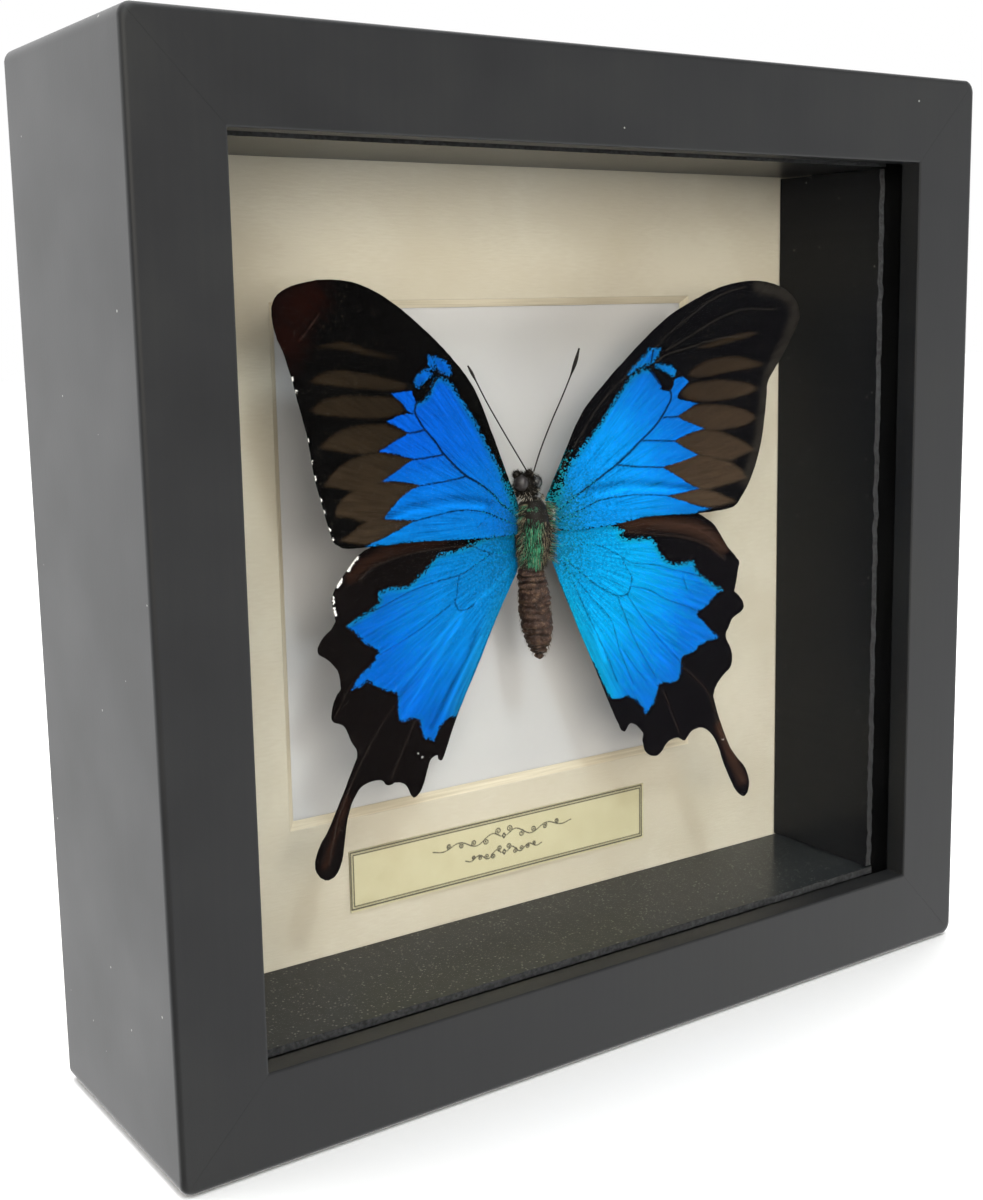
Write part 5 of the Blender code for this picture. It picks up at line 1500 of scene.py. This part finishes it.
def eye_material(name, dark, light, gloss):
    """A compound eye: a clear skin, clouded in places, over facets that are drawn 0.08 mm wide, about three
    times too coarse, so that they roughen the gleam."""
    material, tree, shader = new_material(name, Roughness=gloss, Coat_Weight=0.4, Coat_Roughness=0.15)
    place = add(tree, "TexCoord").outputs["Object"]
    cloud = add(tree, "TexNoise", {"Vector": place, "Scale": 900.0, "Detail": 3.0})
    tone = add(tree, "ValToRGB", {"Fac": cloud}, stops=((0.35, dark), (0.65, light)))
    facets = add(tree, "TexVoronoi", {"Vector": place, "Scale": 12000.0}).outputs["Distance"]
    bump = add(tree, "Bump", {"Strength": 0.3, "Distance": 0.00005, "Height": facets})
    plug(shader, {"Base Color": tone, "Normal": bump})
    return material


def whole_body():
    """Everything between the wings, with its materials."""
    dark = fur_material("black_brown_fur", "040303", "1A1510")
    fur = {"green": fur_material("green_metallic_fur", "0A2A1D", "46A27C", 0.35, 0.4),
           "tan": fur_material("tan_fur", "3A3127", "A3957C"), "dark": dark}
    thorax_skin(dark)
    thorax_fur(fur)
    abdomen(wrinkled_skin(), fur_material("brown_broken_hair", "1C130E", "55432F"))
    pale = fur_material("pale_face_fur", "6E665A", "C9C2B4")
    # The left eye's lighter grey copy stands for the highlight on it: painted highlight.
    eyes = {"eye": eye_material("glossy_black_eye", "0A0A0B", "1C1B1D", 0.25),
            "highlit_eye": eye_material("highlit_grey_eye", "1C191B", "383335", 0.45)}
    head({"skin": dark, "dark": dark, "pale": pale, **eyes})
    black = fur_material("black_antenna_scales", "060505", "1E1A18", 0.45)
    antenna(-1, ((0.2, 105.9, 10.0), (2.5, 109.7, 9.6), (5.6, 114.6, 9.3), (8.8, 119.7, 9.2),
                 (11.4, 124.2, 9.2), (12.75, 126.4, 9.2)), 0.86, 0.16, black)
    antenna(1, ((1.3, 106.2, 9.8), (3.3, 110.2, 9.4), (6.0, 115.2, 9.2), (9.0, 120.5, 9.2),
                (11.5, 125.4, 9.2), (12.8, 128.8, 9.2)), 0.78, 0.24, black)
    stray_hairs(fur_material("fine_loose_hair", "8C8378", "A79E92"))


# The set

def pale_floor():
    """A wide white table top, kept out of mirrors so that the glass stays clear."""
    bm = bmesh.new()
    bmesh.ops.create_grid(bm, x_segments=1, y_segments=1, size=3.0)
    bmesh.ops.translate(bm, vec=(0, 0, -0.0002), verts=bm.verts)
    mesh = bpy.data.meshes.new("table_top")
    bm.to_mesh(mesh)
    bm.free()
    floor = bpy.data.objects.new("table_top", mesh)
    bpy.context.scene.collection.objects.link(floor)
    material, tree, shader = new_material("white_table_top", Roughness=0.9)
    place = add(tree, "TexCoord").outputs["Object"]
    cloud = add(tree, "TexNoise", {"Vector": place, "Scale": 3.0})
    tone = add(tree, "ValToRGB", {"Fac": cloud}, stops=((0.3, "F4F4F4"), (0.7, "FAFAFA")))
    plug(shader, {"Base Color": tone})
    mesh.materials.append(material)
    floor.visible_glossy = False
    floor.visible_transmission = False


def studio_world():
    """White to the eye; as light, bright from behind and dim from the front, where the glass mirrors it."""
    world = bpy.data.worlds.new("studio")
    world.use_nodes = True
    tree = world.node_tree
    background = tree.nodes["Background"]
    direction = add(tree, "TexCoord").outputs["Generated"]
    split = add(tree, "SeparateXYZ", {0: direction})
    behind = add(tree, "MapRange", {"Value": split.outputs["Y"], "From Min": -0.1, "From Max": 0.3,
                                    "To Min": WORLD_FRONT, "To Max": WORLD_BEHIND})
    eye = add(tree, "LightPath").outputs["Is Camera Ray"]
    rightward = add(tree, "Math", {0: split.outputs["Z"], 1: -0.9, 2: split.outputs["X"]},
                    operation="MULTIPLY_ADD")
    rightward = add(tree, "MapRange", {"Value": rightward, "From Min": 0.3, "From Max": 1.15, "To Min": 0.0,
                                       "To Max": WORLD_RIGHT})
    around = add(tree, "Math", {0: behind, 1: rightward}, operation="ADD")
    strength = add(tree, "Mix", {"Factor": eye, "A": around, "B": 1.0})
    plug(background, {"Color": (1.0, 1.0, 1.0, 1.0), "Strength": strength})
    bpy.context.scene.world = world


def soft_lamp(name, direction, distance, size, power, tint, target):
    """A square lamp that lies this way from the target and faces it."""
    lamp = bpy.data.lights.new(name, "AREA")
    lamp.shape = "SQUARE"
    lamp.size = size
    lamp.energy = power
    lamp.color = tint
    thing = bpy.data.objects.new(name, lamp)
    bpy.context.scene.collection.objects.link(thing)
    direction = Vector(direction).normalized()
    thing.matrix_world = (Matrix.Translation(Vector(target) + direction * distance)
                          @ direction.to_track_quat("Z", "Y").to_matrix().to_4x4())


def studio_camera():
    """The view from a little above the middle and to the left."""
    camera = bpy.data.cameras.new("camera")
    camera.lens = LENS
    camera.sensor_width = 36.0
    camera.shift_x, camera.shift_y = SHIFT
    thing = bpy.data.objects.new("camera", camera)
    bpy.context.scene.collection.objects.link(thing)
    thing.matrix_world = (Matrix.Translation(Vector(CAMERA_PLACE) * MM)
                          @ Matrix.Rotation(math.radians(-CAMERA_TURN), 4, "Z")
                          @ Matrix.Rotation(math.radians(90 - CAMERA_DOWN), 4, "X")
                          @ Matrix.Rotation(math.radians(CAMERA_ROLL), 4, "Z"))
    bpy.context.scene.camera = thing


CAMERA_PLACE = (-177.945, -244.667, 137.280)
CAMERA_TURN = 34.4575
CAMERA_DOWN = 9.2934
CAMERA_ROLL = -1.0218
LENS = 47.95
SHIFT = (-0.008, -0.028)
WORLD_BEHIND = 2.4
WORLD_FRONT = 0.12
WORLD_RIGHT = 2.1


def main():
    """Everything, in order."""
    frame_rails(satin_black_paint())
    card, edge = black_faced_card("black_faced_card", 0.13), raw_card_edge()
    burnished = black_faced_card("burnished_black_card", 0.17)
    lining_strip("strip_left", STRIP_LEFT, card, edge, 11, 0.3)
    lining_strip("strip_right", STRIP_RIGHT, card, edge, 12, 0.4)
    lining_strip("strip_top", STRIP_TOP, burnished, edge, 13, 0.12)
    lining_strip("strip_bottom", STRIP_BOTTOM, burnished, edge, 14, 0.12)
    mat_with_window(laid_cream_board(), board_core())
    bordered_label(printed_label_paper())
    all_wings()
    whole_body()
    steel = zinc_plated_steel()
    plain_solids_get_finishes({"glass_pane": clear_glass(), "backing_card": white_card(),
                               "back_board": hardboard(), "point_top": steel, "point_bottom": steel,
                               "point_left": steel, "point_right": steel, "hanger_plate": steel,
                               "hanger_nail_left": steel, "hanger_nail_right": steel,
                               "mounting_block": cork()})
    pale_floor()
    studio_world()
    target = (0, 0, 0.09)
    soft_lamp("front_lamp", (-0.24, -1.0, 0.28), 1.3, 0.68, 5.4, (1.0, 0.92, 0.81), target)
    soft_lamp("left_lamp", (-0.8, -1.0, 0.25), 1.3, 0.45, 3.3, (1.0, 0.93, 0.83), target)
    soft_lamp("high_lamp", (-0.2, -1.0, 1.05), 1.3, 0.16, 3.7, (0.86, 0.96, 1.0), target)
    soft_lamp("overhead_lamp", (0.0, -0.1, 1.0), 1.6, 1.2, 24.0, (1.0, 1.0, 1.0), target)
    studio_camera()
    bpy.context.scene.view_settings.view_transform = "Standard"


main()
